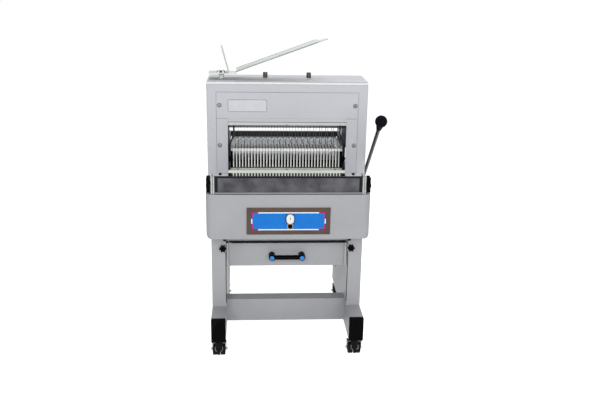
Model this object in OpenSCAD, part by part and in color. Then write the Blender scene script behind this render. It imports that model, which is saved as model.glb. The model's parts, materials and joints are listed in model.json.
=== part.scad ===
// Floor-standing bread slicer: stand on casters, drive cabinet, blade portal, hand-lever pusher.
// Millimetres. +X right, +Y to the rear, +Z up. The floor is Z 0, the portal is centred on Y 0.

/* [Overall] */
// Width of the cabinet and of the portal
body_w = 620; // [610:1:700]
// Sheet metal thickness
sheet_t = 2; // [1.5:0.1:2.5]
// Gap between bodies that move past each other
clearance = 0.3; // [0.2:0.05:0.4]
// Radial running fit of a shaft in its bore
run_fit = 0.05; // [0.02:0.01:0.08]

/* [Stand] */
// Height of the floor beams' undersides above the floor
caster_h = 76; // [66:1:90]
// Width of a floor beam and of a leg
beam_w = 56; // [50:1:60]
// Height of a floor beam
beam_h = 97; // [80:1:110]
// Length of a floor beam with its end caps
beam_len = 634; // [560:1:700]
// Distance of a floor beam's outer side from the body's side
beam_inset = 15; // [12:1:20]
// Wall of the floor beams
tube_wall = 3; // [2:0.5:4]
// Thickness of a beam end cap
cap_t = 12; // [8:1:20]
// Corner radius of a beam end cap
cap_r = 4; // [2:0.5:8]
// Depth of a leg
leg_d = 390; // [340:1:420]
// Height of a leg
leg_h = 309; // [290:1:360]
// Depth of the stretcher
stretcher_d = 59; // [40:1:70]
// Height of the stretcher
stretcher_h = 96; // [70:1:96]
// Place of the stretcher's centre in front of the middle
stretcher_front = 96; // [70:1:130]

/* [Casters] */
// Wheel diameter
wheel_d = 50; // [44:1:52]
// Width of one wheel of the pair
wheel_w = 18; // [14:1:20]
// Thickness of the web between the wheels
fork_web_t = 10; // [8:1:12]
// Axle diameter
axle_d = 8; // [6:0.5:10]
// Trail of the axle behind the swivel axis
caster_trail = 15; // [8:1:18]
// Stem diameter
stem_d = 12; // [10:1:14]
// Distance of the swivel axis from the beam's end
caster_inset = 35; // [30:1:60]

/* [Drawer] */
// Gap between the drawer front and a leg
drawer_side_gap = 10; // [9:0.5:19]
// Height of the drawer front
drawer_h = 95; // [85:1:110]
// Gap between the cabinet and the drawer front
drawer_drop = 57; // [45:1:70]
// Depth of the drawer
drawer_d = 300; // [240:1:320]
// Place of the drawer front ahead of the middle
drawer_front = 157; // [140:1:180]
// Distance between the handle's posts
handle_span = 118; // [90:1:140]
// Thickness of the handle bar
handle_bar_d = 18; // [14:1:22]
// Reach of the handle
handle_reach = 42; // [36:1:50]
// Diameter of the leg knobs
leg_knob_d = 28; // [22:1:34]
// Distance of a leg knob below the cabinet
leg_knob_drop = 62; // [50:1:80]

/* [Cabinet] */
// Depth of the cabinet
cabinet_d = 540; // [520:1:580]
// Height of the cabinet
cabinet_h = 175; // [172:1:195]
// Radius of the cabinet's upright corners
cabinet_r = 28; // [18:1:36]
// Radius of the cabinet's lower ends
cabinet_low_r = 17; // [10:1:24]
// Width of the control bezel
bezel_w = 315; // [280:1:340]
// Height of the control bezel
bezel_h = 105; // [98:1:112]
// Thickness of the control bezel
bezel_t = 4; // [3:0.5:6]
// Width of the push button
button_w = 29; // [24:1:32]
// Height of the push button
button_h = 38; // [34:1:42]
// Travel of the push button
button_travel = 3; // [2:0.5:4]
// Diameter of the key barrel
key_d = 17; // [14:1:19]

/* [Portal] */
// Depth of the portal
portal_d = 170; // [166:1:180]
// Height of the portal above the cabinet
portal_h = 400; // [390:1:440]
// Radius of the portal's top edges
portal_r = 12; // [6:1:20]
// Width of the portal beside the loaf opening
jamb_w = 80; // [78:0.5:82]
// Height of the loaf opening's top above the cabinet
opening_top = 239; // [238:1:246]
// Width of the portal beside the rear opening
rear_jamb_w = 48; // [45:0.5:52]
// Height of the rear opening's top above the cabinet
rear_opening_top = 183; // [170:1:190]
// Distance of the front cover's sides from the portal's sides
cover_inset = 37; // [25:1:45]
// Top of the front cover above the cabinet
cover_top = 353; // [340:1:365]
// Thickness of the cover panels
cover_t = 1.5; // [1:0.1:2]
// Height of the side ledges above the cabinet
ledge_h = 34; // [28:1:38]
// Depth of the side ledges
ledge_d = 56; // [40:1:70]

/* [Blades] */
// Slice thickness, which is the blades' spacing
slice_t = 12; // [11:0.5:12]
// Least distance of a blade from the opening's side
blade_edge = 24; // [23:0.5:35]
// Blade thickness
blade_t = 0.8; // [0.5:0.1:1]
// Blade depth
blade_d = 14; // [10:1:15]
// Distance between the two blade frames
frame_gap = 32; // [30:1:36]
// Width of the blade frames' bars
frame_bar = 16; // [12:1:16]
// Half of the blade stroke, the throw of the crank
throw = 20; // [14:1:20]

/* [Pusher] */
// Height of the deck above the cabinet
deck_h = 45; // [42:1:48]
// Width of a comb finger
finger_w = 5; // [4:0.5:6]
// Depth of a comb finger
finger_d = 5; // [4:0.5:7]
// Height of the pusher plate above the deck
pusher_h = 76; // [72:1:80]
// Distance of the comb ahead of the middle
comb_front = 36; // [34:1:44]
// Length of the pusher plate from front to rear
pusher_len = 266; // [250:1:280]
// Stroke of the pusher
stroke = 160; // [130:1:160]
// Diameter of the guide rods
rod_d = 16; // [12:1:18]

/* [Lever] */
// Diameter of the lever shaft
shaft_d = 24; // [20:1:26]
// Height of the lever shaft below the cabinet top
shaft_drop = 30; // [28:1:33]
// Distance of the lever shaft behind the middle
shaft_back = 60; // [56:1:66]
// Length of the lever from the shaft to the ball
lever_len = 502; // [440:1:540]
// Diameter of the lever rod
lever_d = 14; // [12:1:18]
// Diameter of the lever ball
ball_d = 44; // [36:1:50]
// Forward lean of the lever at rest, in degrees
lever_lean = 50.5; // [46:0.1:52]
// Half of the lever's swing, in degrees
half_swing = 46; // [44:0.5:48]

/* [Drive] */
// Diameter of the crankshaft
crank_d = 25; // [20:1:28]
// Height of the crankshaft above the cabinet's underside
crank_h = 54; // [53:0.5:57]
// Diameter of the crank discs
crank_disc_d = 68; // [62:1:70]
// Diameter of the crank pulley
pulley_d = 74; // [68:1:76]
// Diameter of the motor pulley
motor_pulley_d = 37; // [34:1:40]
// Width of the belt
belt_w = 16; // [12:1:18]
// Thickness of the belt
belt_t = 5; // [4:0.5:6]
// Diameter of the motor
motor_d = 120; // [100:1:126]
// Length of the motor
motor_len = 160; // [130:1:200]
// Distance of the motor ahead of the crankshaft
motor_front = 150; // [130:1:170]

/* [Tray] */
// Distance of the catch tray's ends from the body's sides
tray_inset = 34; // [30:1:60]
// Depth of the catch tray
tray_d = 122; // [100:1:123]
// Height of the catch tray's front wall
tray_h = 70; // [50:1:80]
// Width of a bracket's front flange
flange_w = 14; // [10:1:18]
// Diameter of the tray's clamp knobs
tray_knob_d = 66; // [50:1:68]

/* [Scoop] */
// Length of the scoop's trough
trough_len = 372; // [300:1:420]
// Width of the trough
trough_w = 110; // [80:1:130]
// Slope of the trough, in degrees
trough_slope = 20; // [12:0.5:25]
// Height of the end stop
stop_h = 100; // [70:1:120]
// Length of the scoop's base plate
base_len = 106; // [90:1:120]
// Depth of the scoop's base plate
base_d = 84; // [60:1:100]
// Height of the base plate above the roof
base_h = 24; // [20:1:30]
// Distance of the scoop's pivot from the body's left side
pivot_inset = 56; // [40:1:90]
// Distance of the scoop's pivot ahead of the middle
pivot_front = 41; // [20:1:50]
// Distance of a roof stud from the middle
stud_x = 85; // [60:1:120]
// Diameter of a roof stud
roof_stud_d = 18; // [12:1:20]
// Height of a roof stud
stud_h = 20; // [14:1:24]

/* [Hidden] */
$fn = 48;
// Overrun of every cut
over = 1;
// Driven values of the stand
half_w = body_w / 2;
beam_x = half_w - beam_inset - beam_w / 2;
z_beam_top = caster_h + beam_h;
z_cab = z_beam_top + leg_h;
z_deck0 = z_cab + cabinet_h;
z_roof = z_deck0 + portal_h;
beam_in = beam_x - beam_w / 2;
caster_y = beam_len / 2 - caster_inset;
// Casters
wheel_gap = 0.6;
hood_gap = 2;
hood_t = 2;
boss_d = 30;
axle_nub = 3;
stem_over = 10;
// Drawer
drawer_w = 2 * (beam_in - drawer_side_gap);
z_drawer = z_cab - drawer_drop - drawer_h;
drawer_lip = 7;
drawer_floor_up = 5;
drawer_side_h = 80;
runner_t = 3;
runner_h = 24;
runner_in = 25;
handle_foot_d = 22;
handle_up = 47;
leg_knob_in = 17;
leg_knob_x = beam_x - leg_knob_in;
leg_knob_t = 16;
knob_stem_d = 8;
knob_stem_over = 8;
lobe_share = 0.22;
lobe_place_share = 0.39;
hub_share = 0.73;
// Control panel
bezel_up = 20;
bezel_rim = 16;
pocket_deep = 1;
window_rim = 12;
button_x = 6;
button_up = 82;
button_proud = 5;
button_out = button_travel + button_proud;
button_in = 10;
key_gap = 2;
z_key = z_cab + button_up - button_h / 2 - key_gap - key_d / 2;
key_out = 6;
// Portal
opening_w = body_w - 2 * jamb_w;
half_open = opening_w / 2;
rear_opening_w = body_w - 2 * rear_jamb_w;
cover_w = body_w - 2 * cover_inset;
z_open = z_deck0 + opening_top;
z_cover = z_deck0 + cover_top;
cover_gap = 1;
cover_lip = 14;
rear_cover_lip = 12;
screw_inset = 48;
screw_x = half_w - screw_inset;
screw_ups = [147, 303];
screw_d = 11;
screw_h = 3;
bolt_inset = 49;
bolt_x = half_w - bolt_inset;
bolt_front = 107;
bar_h = 12;
bar_d = 12;
bar_up = 225;
bar_side = 6;
sill_h = 10.5;
sill_d = 43;
apron_h = 40;
apron_t = 2;
z_deck = z_deck0 + deck_h;
deck_t = 4;
deck_side = 8;
deck_w = opening_w - 2 * deck_side;
deck_back = 100;
deck_front = portal_d / 2 - sheet_t - sill_d;
slot_w = 3;
deck_slot_front = 32;
deck_slot_back = 34;
table_back = 262;
table_side_t = 4;
tower_t = 12;
tower_w = 20;
// Blade frames
blade_count = 2 * floor((half_open - blade_edge) / slice_t) + 1;
post_inset = 46;
post_x = half_w - post_inset;
frame_low = 56;
frame_high = 274;
rail_h = 22;
z_rail = z_deck0 - frame_low;
z_top_rail = z_deck0 + frame_high;
guide_inset = 60;
guide_in = half_w - guide_inset;
guide_h = 30;
guide_side = 8;
guide_ups = [6, 209];
// Pusher
z_plate = z_deck + pusher_h;
plate_t = 2;
rim_h = 8;
plate_side = 6;
plate_w = opening_w - 2 * plate_side;
slot_backs = [58, 70];
finger_lift = 2;
fold_gap = 8;
side_gap = 4;
side_in = half_open - side_gap;
side_t = 7;
strap_h = 20;
rear_beam_d = 16;
rod_out = 14;
rod_x = half_open + rod_out;
block_w = 22;
block_len = 50;
block_up = 13;
rod_up = 22;
z_rod = z_plate + rod_up;
// Lever
z_shaft = z_deck0 - shaft_drop;
arm_out = 8;
arm_x = half_open + arm_out;
arm_t = 8;
arm_r = stroke / 2 / sin(half_swing);
arm_w = 22;
hub_d = 44;
pin_d = 22;
fork_play = 4;
fork_wall = 11;
fork_y = shaft_back - stroke / 2;
bush_d = 44;
bush_flange_d = 60;
bush_flange_t = 4;
bush_in = 6;
lever_hub_d = 36;
lever_hub_w = 18;
neck_len = 35;
neck_share = 0.75;
sink_share = 0.25;
// Drive
z_crank = z_cab + crank_h;
bearing_x = 30;
bearing_t = 15;
bearing_w = 60;
disc_x = 60;
disc_t = 10;
conrod_t = 10;
conrod_eye_d = 32;
small_eye_d = 24;
small_pin_d = 12;
small_drop = 14;
lug_t = 10;
conrod_x = disc_x + disc_t + clearance;
lug_x = conrod_x + conrod_t + clearance;
z_small = z_rail - small_drop;
motor_gap = 25;
motor_up = 69;
motor_shaft_d = 19;
motor_shaft_in = 20;
pulley_side = 1;
foot_w = 70;
// Tray
tray_w = body_w - 2 * tray_inset;
tray_y = portal_d / 2 + ledge_d + tray_d;
bracket_h = 50;
tray_knob_t = 14;
tray_knob_gap = 3;
tray_knob_back = 19;
// Scoop
pivot_left = half_w - pivot_inset;
pivot_d = 12;
pivot_over = 6;
sleeve_d = 20;
scoop_t = 2;
trough_deep = 8;
stop_lean = 27;
stop_in = 31;
tip_share = 0.88;
base_left = 48;
fingers = blade_count + 1;

// A box between two corners
module span(a, b) {
    translate(a) cube(b - a);
}

// Both sides of the machine
module both() {
    children();
    mirror([1, 0, 0]) children();
}

// A cylinder along X from x0 to x1
module rod_x(y, z, x0, x1, d) {
    translate([x0, y, z]) rotate([0, 90, 0]) cylinder(d = d, h = x1 - x0);
}

// A cylinder along Y from y0 to y1
module rod_y(x, z, y0, y1, d) {
    translate([x, y0, z]) rotate([-90, 0, 0]) cylinder(d = d, h = y1 - y0);
}

// A rectangle with round corners, centred
module round_rect(w, h, r) {
    square([w - 2 * r, h], center = true);
    square([w, h - 2 * r], center = true);
    for (x = [-1, 1], y = [-1, 1]) {
        translate([x * (w / 2 - r), y * (h / 2 - r)]) circle(r);
    }
}

// A profile drawn in Y and Z, extruded along X from x0 to x1
module along_x(x0, x1) {
    translate([x0, 0, 0]) rotate([90, 0, 90]) linear_extrude(x1 - x0) children();
}

// A profile drawn in X and Z, extruded along Y from y0 to y1
module along_y(y0, y1) {
    translate([0, y1, 0]) rotate([90, 0, 0]) linear_extrude(y1 - y0) children();
}

// A floor beam on the right, open at both ends and drilled for the caster stems
module floor_beam_right() {
    len = beam_len - 2 * cap_t;
    color("silver") difference() {
        span([beam_in, -len / 2, caster_h], [beam_in + beam_w, len / 2, z_beam_top]);
        span([beam_in + tube_wall, -len / 2 - over, caster_h + tube_wall],
            [beam_in + beam_w - tube_wall, len / 2 + over, z_beam_top - tube_wall]);
        for (s = [-1, 1]) {
            translate([beam_x, s * caster_y, caster_h - over])
                cylinder(d = stem_d + 2 * run_fit, h = tube_wall + 2 * over);
        }
    }
}

module left_floor_beam() {
    mirror([1, 0, 0]) floor_beam_right();
}

module right_floor_beam() {
    floor_beam_right();
}

// Moulded caps that close the ends of the floor beams
module beam_end_caps() {
    color("#15161a") both() for (s = [-1, 1]) {
        y0 = s * (beam_len - cap_t) / 2 - cap_t / 2;
        along_y(y0, y0 + cap_t) translate([beam_x, caster_h + beam_h / 2]) round_rect(beam_w, beam_h, cap_r);
    }
}

// A folded panel leg on the right, with the hole for its knob's stem
module leg_right() {
    color("silver") difference() {
        span([beam_in, -leg_d / 2, z_beam_top], [beam_in + beam_w, leg_d / 2, z_cab]);
        span([beam_in + sheet_t, -leg_d / 2 + sheet_t, z_beam_top - over],
            [beam_in + beam_w - sheet_t, leg_d / 2 - sheet_t, z_cab + over]);
        rod_y(leg_knob_x, z_cab - leg_knob_drop, -leg_d / 2 - over, -leg_d / 2 + sheet_t + over,
            knob_stem_d + 2 * run_fit);
    }
}

module left_leg() {
    mirror([1, 0, 0]) leg_right();
}

module right_leg() {
    leg_right();
}

// Box stretcher between the floor beams
module stretcher() {
    y0 = -stretcher_front - stretcher_d / 2;
    color("silver") difference() {
        span([-beam_in, y0, caster_h], [beam_in, y0 + stretcher_d, caster_h + stretcher_h]);
        span([-beam_in - over, y0 + sheet_t, caster_h + sheet_t],
            [beam_in + over, y0 + stretcher_d - sheet_t, caster_h + stretcher_h - sheet_t]);
    }
}

// Angle runners on the legs that carry the drawer
module drawer_runners() {
    z0 = z_drawer + drawer_floor_up - clearance - runner_t;
    y0 = -drawer_front + sheet_t + clearance;
    y1 = leg_d / 2;
    color("gainsboro") both() {
        span([beam_in - runner_t, y0, z0], [beam_in, y1, z0 + runner_h]);
        span([beam_in - runner_in, y0, z0], [beam_in - runner_t, y1, z0 + runner_t]);
    }
}

// Outline of the cabinet's body, grown inwards by t
module cabinet_body(t, z0, z1) {
    r = cabinet_r - t;
    low = cabinet_low_r - t;
    w = body_w - 2 * t;
    d = cabinet_d - 2 * t;
    intersection() {
        translate([0, 0, z0]) linear_extrude(z1 - z0) round_rect(w, d, r);
        along_y(-d / 2 - over, d / 2 + over) union() {
            translate([0, (z0 + z1) / 2 + low / 2]) square([w, z1 - z0 - low], center = true);
            translate([0, z0 + low / 2]) square([w - 2 * low, low], center = true);
            for (s = [-1, 1]) {
                translate([s * (w / 2 - low), z0 + low]) circle(low);
            }
        }
    }
}

// Sheet metal cabinet with a window behind the bezel and an open well under the portal
module cabinet_shell() {
    color("silver") difference() {
        cabinet_body(0, z_cab, z_deck0);
        cabinet_body(sheet_t, z_cab + sheet_t, z_deck0 - sheet_t);
        span([-half_w + cabinet_r, -portal_d / 2 + sheet_t, z_deck0 - sheet_t - over],
            [half_w - cabinet_r, portal_d / 2 + ledge_d, z_deck0 + over]);
        span([-bezel_w / 2 + window_rim, -cabinet_d / 2 - over, z_cab + bezel_up + window_rim],
            [bezel_w / 2 - window_rim, -cabinet_d / 2 + sheet_t + over,
                z_cab + bezel_up + bezel_h - window_rim]);
        rod_x(shaft_back, z_shaft, -half_w - over, half_w + over, bush_d + 2 * run_fit);
    }
}

// Stadium-shaped outline of the push button, in X and Z
module button_outline(grow) {
    w = button_w + 2 * grow;
    h = button_h + 2 * grow;
    translate([button_x, z_cab + button_up]) {
        square([w, h - w], center = true);
        for (s = [-1, 1]) {
            translate([0, s * (h - w) / 2]) circle(d = w);
        }
    }
}

// Bezel on the cabinet front, with a pocket for the panel plate
module control_bezel() {
    y1 = -cabinet_d / 2;
    z0 = z_cab + bezel_up;
    color("#6b6258") difference() {
        span([-bezel_w / 2, y1 - bezel_t, z0], [bezel_w / 2, y1, z0 + bezel_h]);
        span([-bezel_w / 2 + bezel_rim, y1 - bezel_t - over, z0 + bezel_rim],
            [bezel_w / 2 - bezel_rim, y1 - bezel_t + pocket_deep, z0 + bezel_h - bezel_rim]);
        along_y(y1 - bezel_t - over, y1 + over) button_outline(clearance);
        rod_y(button_x, z_key, y1 - bezel_t - over, y1 + over, key_d + 2 * run_fit);
    }
}

// Oval push button that travels into the bezel
module switch_button() {
    y1 = -cabinet_d / 2;
    color("white") along_y(y1 - bezel_t - button_out, y1 + button_in) button_outline(0);
}

// Key barrel that turns in the bezel, with a slot for the key
module key_barrel() {
    y1 = -cabinet_d / 2;
    color("#20201e") difference() {
        rod_y(button_x, z_key, y1 - bezel_t - key_out, y1 + button_in, key_d);
        translate([button_x, y1 - bezel_t - key_out, z_key])
            cube([key_d * lobe_share / 2, key_out, key_d / 2], center = true);
    }
}

// Solid form of the portal, grown inwards by t and reaching below by foot
module portal_body(t, foot) {
    w = body_w - 2 * t;
    d = portal_d - 2 * t;
    r = portal_r - t / 2;
    z1 = z_roof - t;
    z0 = z_deck0 - foot;
    intersection() {
        along_y(-d / 2, d / 2) portal_profile(w, z0, z1, r);
        along_x(-w / 2, w / 2) portal_profile(d, z0, z1, r);
    }
}

// Upright rectangle of width w with round upper corners
module portal_profile(w, z0, z1, r) {
    translate([-w / 2, z0]) square([w, z1 - z0 - r]);
    translate([-w / 2 + r, z0]) square([w - 2 * r, z1 - z0]);
    for (s = [-1, 1]) {
        translate([s * (w / 2 - r), z1 - r]) circle(r);
    }
}

// Blade housing, open below and through from front to rear
module portal_shell() {
    y1 = portal_d / 2;
    half_rear = rear_opening_w / 2;
    color("silver") difference() {
        portal_body(0, 0);
        portal_body(sheet_t, over);
        span([-half_open, -y1 - over, z_deck0 - over], [half_open, -y1 + sheet_t + over, z_open]);
        span([-half_rear, y1 - sheet_t - over, z_deck0 - over],
            [half_rear, y1 + over, z_deck0 + rear_opening_top]);
    }
}

// Head panel and two side strips on the front of the portal
module front_cover() {
    y1 = -portal_d / 2;
    z_head = z_open + cover_lip;
    color("silver") {
        span([-cover_w / 2, y1 - cover_t, z_head], [cover_w / 2, y1, z_cover]);
        both() span([half_open, y1 - cover_t, z_deck0 + ledge_h + cover_gap],
            [cover_w / 2, y1, z_head - cover_gap]);
    }
}

// Head panel on the rear of the portal
module rear_cover() {
    y1 = portal_d / 2;
    color("silver") span([-cover_w / 2, y1, z_deck0 + rear_opening_top + rear_cover_lip],
        [cover_w / 2, y1 + cover_t, z_cover]);
}

// Cover screws at the front and rear, and the ledge bolts
module panel_screws() {
    y1 = portal_d / 2 + cover_t;
    color("dimgray") both() {
        for (up = screw_ups) {
            rod_y(screw_x, z_deck0 + up, -y1 - screw_h, -y1, screw_d);
        }
        rod_y(screw_x, z_deck0 + max(screw_ups), y1, y1 + screw_h, screw_d);
        translate([bolt_x, -bolt_front, z_deck0 + ledge_h]) cylinder(d = screw_d, h = screw_h);
    }
}

// Folded ledges at the foot of the portal
module side_ledges() {
    y0 = -portal_d / 2 - ledge_d;
    x1 = half_w - cap_r;
    color("whitesmoke") both() difference() {
        span([half_open, y0, z_deck0], [x1, -portal_d / 2, z_deck0 + ledge_h]);
        span([half_open + sheet_t, y0 + sheet_t, z_deck0 - over],
            [x1 - sheet_t, -portal_d / 2 - sheet_t, z_deck0 + ledge_h - sheet_t]);
    }
}

// Bar across the head of the opening
module upper_guide_bar() {
    y0 = -portal_d / 2 + sheet_t;
    x1 = half_open + bar_side;
    color("whitesmoke") span([-x1, y0, z_deck0 + bar_up], [x1, y0 + bar_d, z_deck0 + bar_up + bar_h]);
}

// X of a comb finger and of a blade
function finger_x(i) = slice_t * (i - (fingers - 1) / 2);
function blade_x(i) = slice_t * (i - (blade_count - 1) / 2);

// Sill over which the sliced loaf leaves, with its toothed apron
module sill_bar() {
    y0 = -portal_d / 2 + sheet_t;
    x1 = half_open + bar_side;
    z0 = z_deck - sill_h;
    color("honeydew") {
        span([-deck_w / 2, y0, z0], [deck_w / 2, y0 + sill_d, z_deck]);
        span([-x1, y0, z0], [x1, y0 + bar_d, z_deck]);
        for (i = [0 : fingers - 1]) {
            x = finger_x(i);
            span([x - finger_w / 2, y0, z0 - apron_h], [x + finger_w / 2, y0 + apron_t, z0]);
        }
    }
}

// Deck with a slot for each blade
module slotted_deck() {
    color("lightgray") difference() {
        span([-deck_w / 2, -deck_front, z_deck - deck_t], [deck_w / 2, deck_back, z_deck]);
        for (i = [0 : blade_count - 1]) {
            x = blade_x(i);
            span([x - slot_w / 2, -deck_slot_front, z_deck - deck_t - over],
                [x + slot_w / 2, deck_slot_back, z_deck + over]);
        }
    }
}

// Stainless catch tray with a tall front wall
module catch_tray() {
    y0 = -tray_y;
    y1 = -portal_d / 2 - ledge_d - clearance;
    x1 = tray_w / 2;
    color("#5a5a5a") difference() {
        span([-x1, y0, z_deck0], [x1, y1, z_deck0 + tray_h]);
        span([-x1 + sheet_t, y0 + sheet_t, z_deck0 + sheet_t],
            [x1 - sheet_t, y1 - sheet_t, z_deck0 + tray_h + over]);
        span([-x1 - over, y0 + flange_w, z_deck0 + ledge_h], [x1 + over, y1 + over, z_deck0 + tray_h + over]);
    }
}

// Side brackets of the catch tray, with a front flange and the knob's hole
module tray_brackets() {
    y1 = -portal_d / 2 - ledge_d - clearance;
    x0 = tray_w / 2;
    x1 = x0 + flange_w;
    color("gainsboro") both() difference() {
        union() {
            span([x1 - sheet_t, -tray_y, z_deck0], [x1, y1, z_deck0 + bracket_h]);
            span([x0, -tray_y, z_deck0], [x1, -tray_y + sheet_t, z_deck0 + tray_h]);
        }
        rod_x(-tray_y + tray_knob_back, z_deck0 + tray_h / 2, x1 - sheet_t - over, x1 + over,
            knob_stem_d + 2 * run_fit);
    }
}

// Rear table level with the deck, with the towers that hold the guide rods
module infeed_table() {
    y0 = portal_d / 2 + ledge_d;
    y1 = table_back;
    x1 = deck_w / 2;
    tower_x = rod_x + tower_w / 2;
    color("lightgray") difference() {
        union() {
            span([-x1, deck_back, z_deck - deck_t], [x1, y1, z_deck]);
            span([-tower_x, y1 - deck_t, z_deck0], [tower_x, y1, z_deck]);
            both() {
                span([x1 - table_side_t, y0, z_deck0], [x1, y1, z_deck - deck_t]);
                span([rod_x - tower_w / 2, y1 - tower_t, z_deck0], [tower_x, y1, z_rod + rod_d]);
            }
        }
        both() rod_y(rod_x, z_rod, y1 - tower_t - over, y1 + over, rod_d + 2 * run_fit);
    }
}

// Rods that guide the pusher
module guide_rods() {
    color("white") both() rod_y(rod_x, z_rod, -portal_d / 2 + sheet_t, table_back, rod_d);
}

// Blocks on the portal's walls in which the blade frames slide
module blade_guides() {
    y1 = frame_gap / 2 + frame_bar / 2 + guide_side;
    grow = frame_bar / 2 + clearance;
    color("ivory") both() for (up = guide_ups) {
        difference() {
            span([guide_in, -y1, z_deck0 + up], [half_w - sheet_t, y1, z_deck0 + up + guide_h]);
            for (s = [-1, 1]) {
                span([post_x - grow, s * frame_gap / 2 - grow, z_deck0 + up - over],
                    [post_x + grow, s * frame_gap / 2 + grow, z_deck0 + up + guide_h + over]);
            }
        }
    }
}

// Pillow blocks of the crankshaft
module crank_bearings() {
    color("slategray") both() difference() {
        union() {
            span([bearing_x, -bearing_w / 2, z_cab + sheet_t],
                [bearing_x + bearing_t, bearing_w / 2, z_crank]);
            rod_x(0, z_crank, bearing_x, bearing_x + bearing_t, bearing_w * lobe_place_share * 2);
        }
        rod_x(0, z_crank, bearing_x - over, bearing_x + bearing_t + over, crank_d + 2 * run_fit);
    }
}

z_motor = z_cab + motor_up;

// Motor on its foot
module motor_body() {
    color("dimgray") difference() {
        union() {
            rod_x(-motor_front, z_motor, motor_gap, motor_gap + motor_len, motor_d);
            span([motor_gap + foot_w / 2, -motor_front - foot_w / 2, z_cab + sheet_t],
                [motor_gap + motor_len - foot_w / 2, -motor_front + foot_w / 2, z_motor]);
        }
        rod_x(-motor_front, z_motor, motor_gap - over, motor_gap + motor_shaft_in + over,
            motor_shaft_d + 2 * run_fit);
    }
}

// Motor shaft with its pulley
module motor_rotor() {
    color("gray") {
        rod_x(-motor_front, z_motor, -belt_w / 2 - pulley_side, motor_gap + motor_shaft_in, motor_shaft_d);
        rod_x(-motor_front, z_motor, -belt_w / 2 - pulley_side, belt_w / 2 + pulley_side, motor_pulley_d);
    }
}

// Loop of the belt round both pulleys, grown outwards by g
module belt_loop(g) {
    hull() {
        translate([0, z_crank]) circle(d = pulley_d + 2 * g);
        translate([-motor_front, z_motor]) circle(d = motor_pulley_d + 2 * g);
    }
}

// Flat drive belt
module drive_belt() {
    color("#1a1a1a") along_x(-belt_w / 2, belt_w / 2) difference() {
        belt_loop(clearance + belt_t);
        belt_loop(clearance);
    }
}

// Crankshaft with its two end discs
module crankshaft() {
    color("gray") {
        rod_x(0, z_crank, -disc_x, disc_x, crank_d);
        both() rod_x(0, z_crank, disc_x, disc_x + disc_t, crank_disc_d);
    }
}

// Pulley on the crankshaft
module crank_pulley() {
    color("darkgray") difference() {
        rod_x(0, z_crank, -belt_w / 2 - pulley_side, belt_w / 2 + pulley_side, pulley_d);
        rod_x(0, z_crank, -belt_w, belt_w, crank_d + 2 * run_fit);
    }
}

// Studs on the roof, and the pin on which the scoop turns
module roof_studs() {
    color("silver") {
        both() translate([stud_x, 0, z_roof]) cylinder(d = roof_stud_d, h = stud_h);
        translate([-pivot_left, -pivot_front, z_roof]) cylinder(d = pivot_d, h = base_h + pivot_over);
    }
}

// Flanged bushes of the lever shaft in the cabinet's sides
module lever_bushes() {
    color("goldenrod") both() difference() {
        union() {
            rod_x(shaft_back, z_shaft, half_w - sheet_t - bush_in, half_w, bush_d);
            rod_x(shaft_back, z_shaft, half_w, half_w + bush_flange_t, bush_flange_d);
        }
        rod_x(shaft_back, z_shaft, half_w - sheet_t - bush_in - over, half_w + bush_flange_t + over,
            shaft_d + 2 * run_fit);
    }
}

// Swivel fork with its hood, at the corner given by two signs
module caster_fork(sx, sy) {
    r = wheel_d / 2;
    half = fork_web_t / 2 + wheel_gap + wheel_w;
    inner_d = wheel_d + 2 * hood_gap;
    color("#2a2b2e") translate([sx * beam_x, sy * caster_y, 0]) {
        difference() {
            union() {
                rod_x(caster_trail, r, -half, half, inner_d + 2 * hood_t);
                translate([0, 0, r]) cylinder(d = boss_d, h = caster_h - clearance - r);
            }
            rod_x(caster_trail, r, -half - over, half + over, inner_d);
            span([-half - over, -wheel_d, -wheel_d], [half + over, wheel_d + caster_trail, r]);
        }
        difference() {
            rod_x(caster_trail, r, -fork_web_t / 2, fork_web_t / 2, inner_d + hood_t);
            rod_x(caster_trail, r, -half, half, axle_d + 2 * run_fit);
            span([-half, -wheel_d, -wheel_d], [half, wheel_d + caster_trail, r - axle_d]);
        }
        translate([0, 0, caster_h - clearance]) cylinder(d = stem_d, h = clearance + stem_over);
    }
}

// Wheel pair on its axle, at the corner given by two signs
module caster_wheels(sx, sy) {
    r = wheel_d / 2;
    x0 = fork_web_t / 2 + wheel_gap;
    color("#17181b") translate([sx * beam_x, sy * caster_y, 0]) {
        rod_x(caster_trail, r, -x0 - wheel_w - axle_nub, x0 + wheel_w + axle_nub, axle_d);
        both() rod_x(caster_trail, r, x0, x0 + wheel_w, wheel_d);
    }
}

// Lever shaft with its two arms and drive pins
module lever_shaft() {
    x1 = half_w + bush_flange_t + clearance;
    color("dimgray") {
        rod_x(shaft_back, z_shaft, -x1, x1 + lever_hub_w, shaft_d);
        both() {
            rod_x(shaft_back, z_shaft, arm_x, arm_x + arm_t, hub_d);
            translate([arm_x, shaft_back, z_shaft]) rotate([half_swing, 0, 0]) {
                translate([0, -arm_w / 2, 0]) cube([arm_t, arm_w, arm_r]);
                rod_x(0, arm_r, 0, arm_t, arm_w);
                rod_x(0, arm_r, side_in - arm_x + clearance, 0, pin_d);
            }
        }
    }
}

// Hand lever clamped on the shaft's end
module lever_rod() {
    x0 = half_w + bush_flange_t + clearance;
    color("gray") difference() {
        union() {
            rod_x(shaft_back, z_shaft, x0, x0 + lever_hub_w, lever_hub_d);
            translate([x0 + lever_hub_w / 2, shaft_back, z_shaft]) rotate([lever_lean, 0, 0])
                cylinder(d = lever_d, h = lever_len - ball_d / 2 - neck_len);
        }
        rod_x(shaft_back, z_shaft, x0 - over, x0 + lever_hub_w + over, shaft_d + 2 * run_fit);
    }
}

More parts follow.
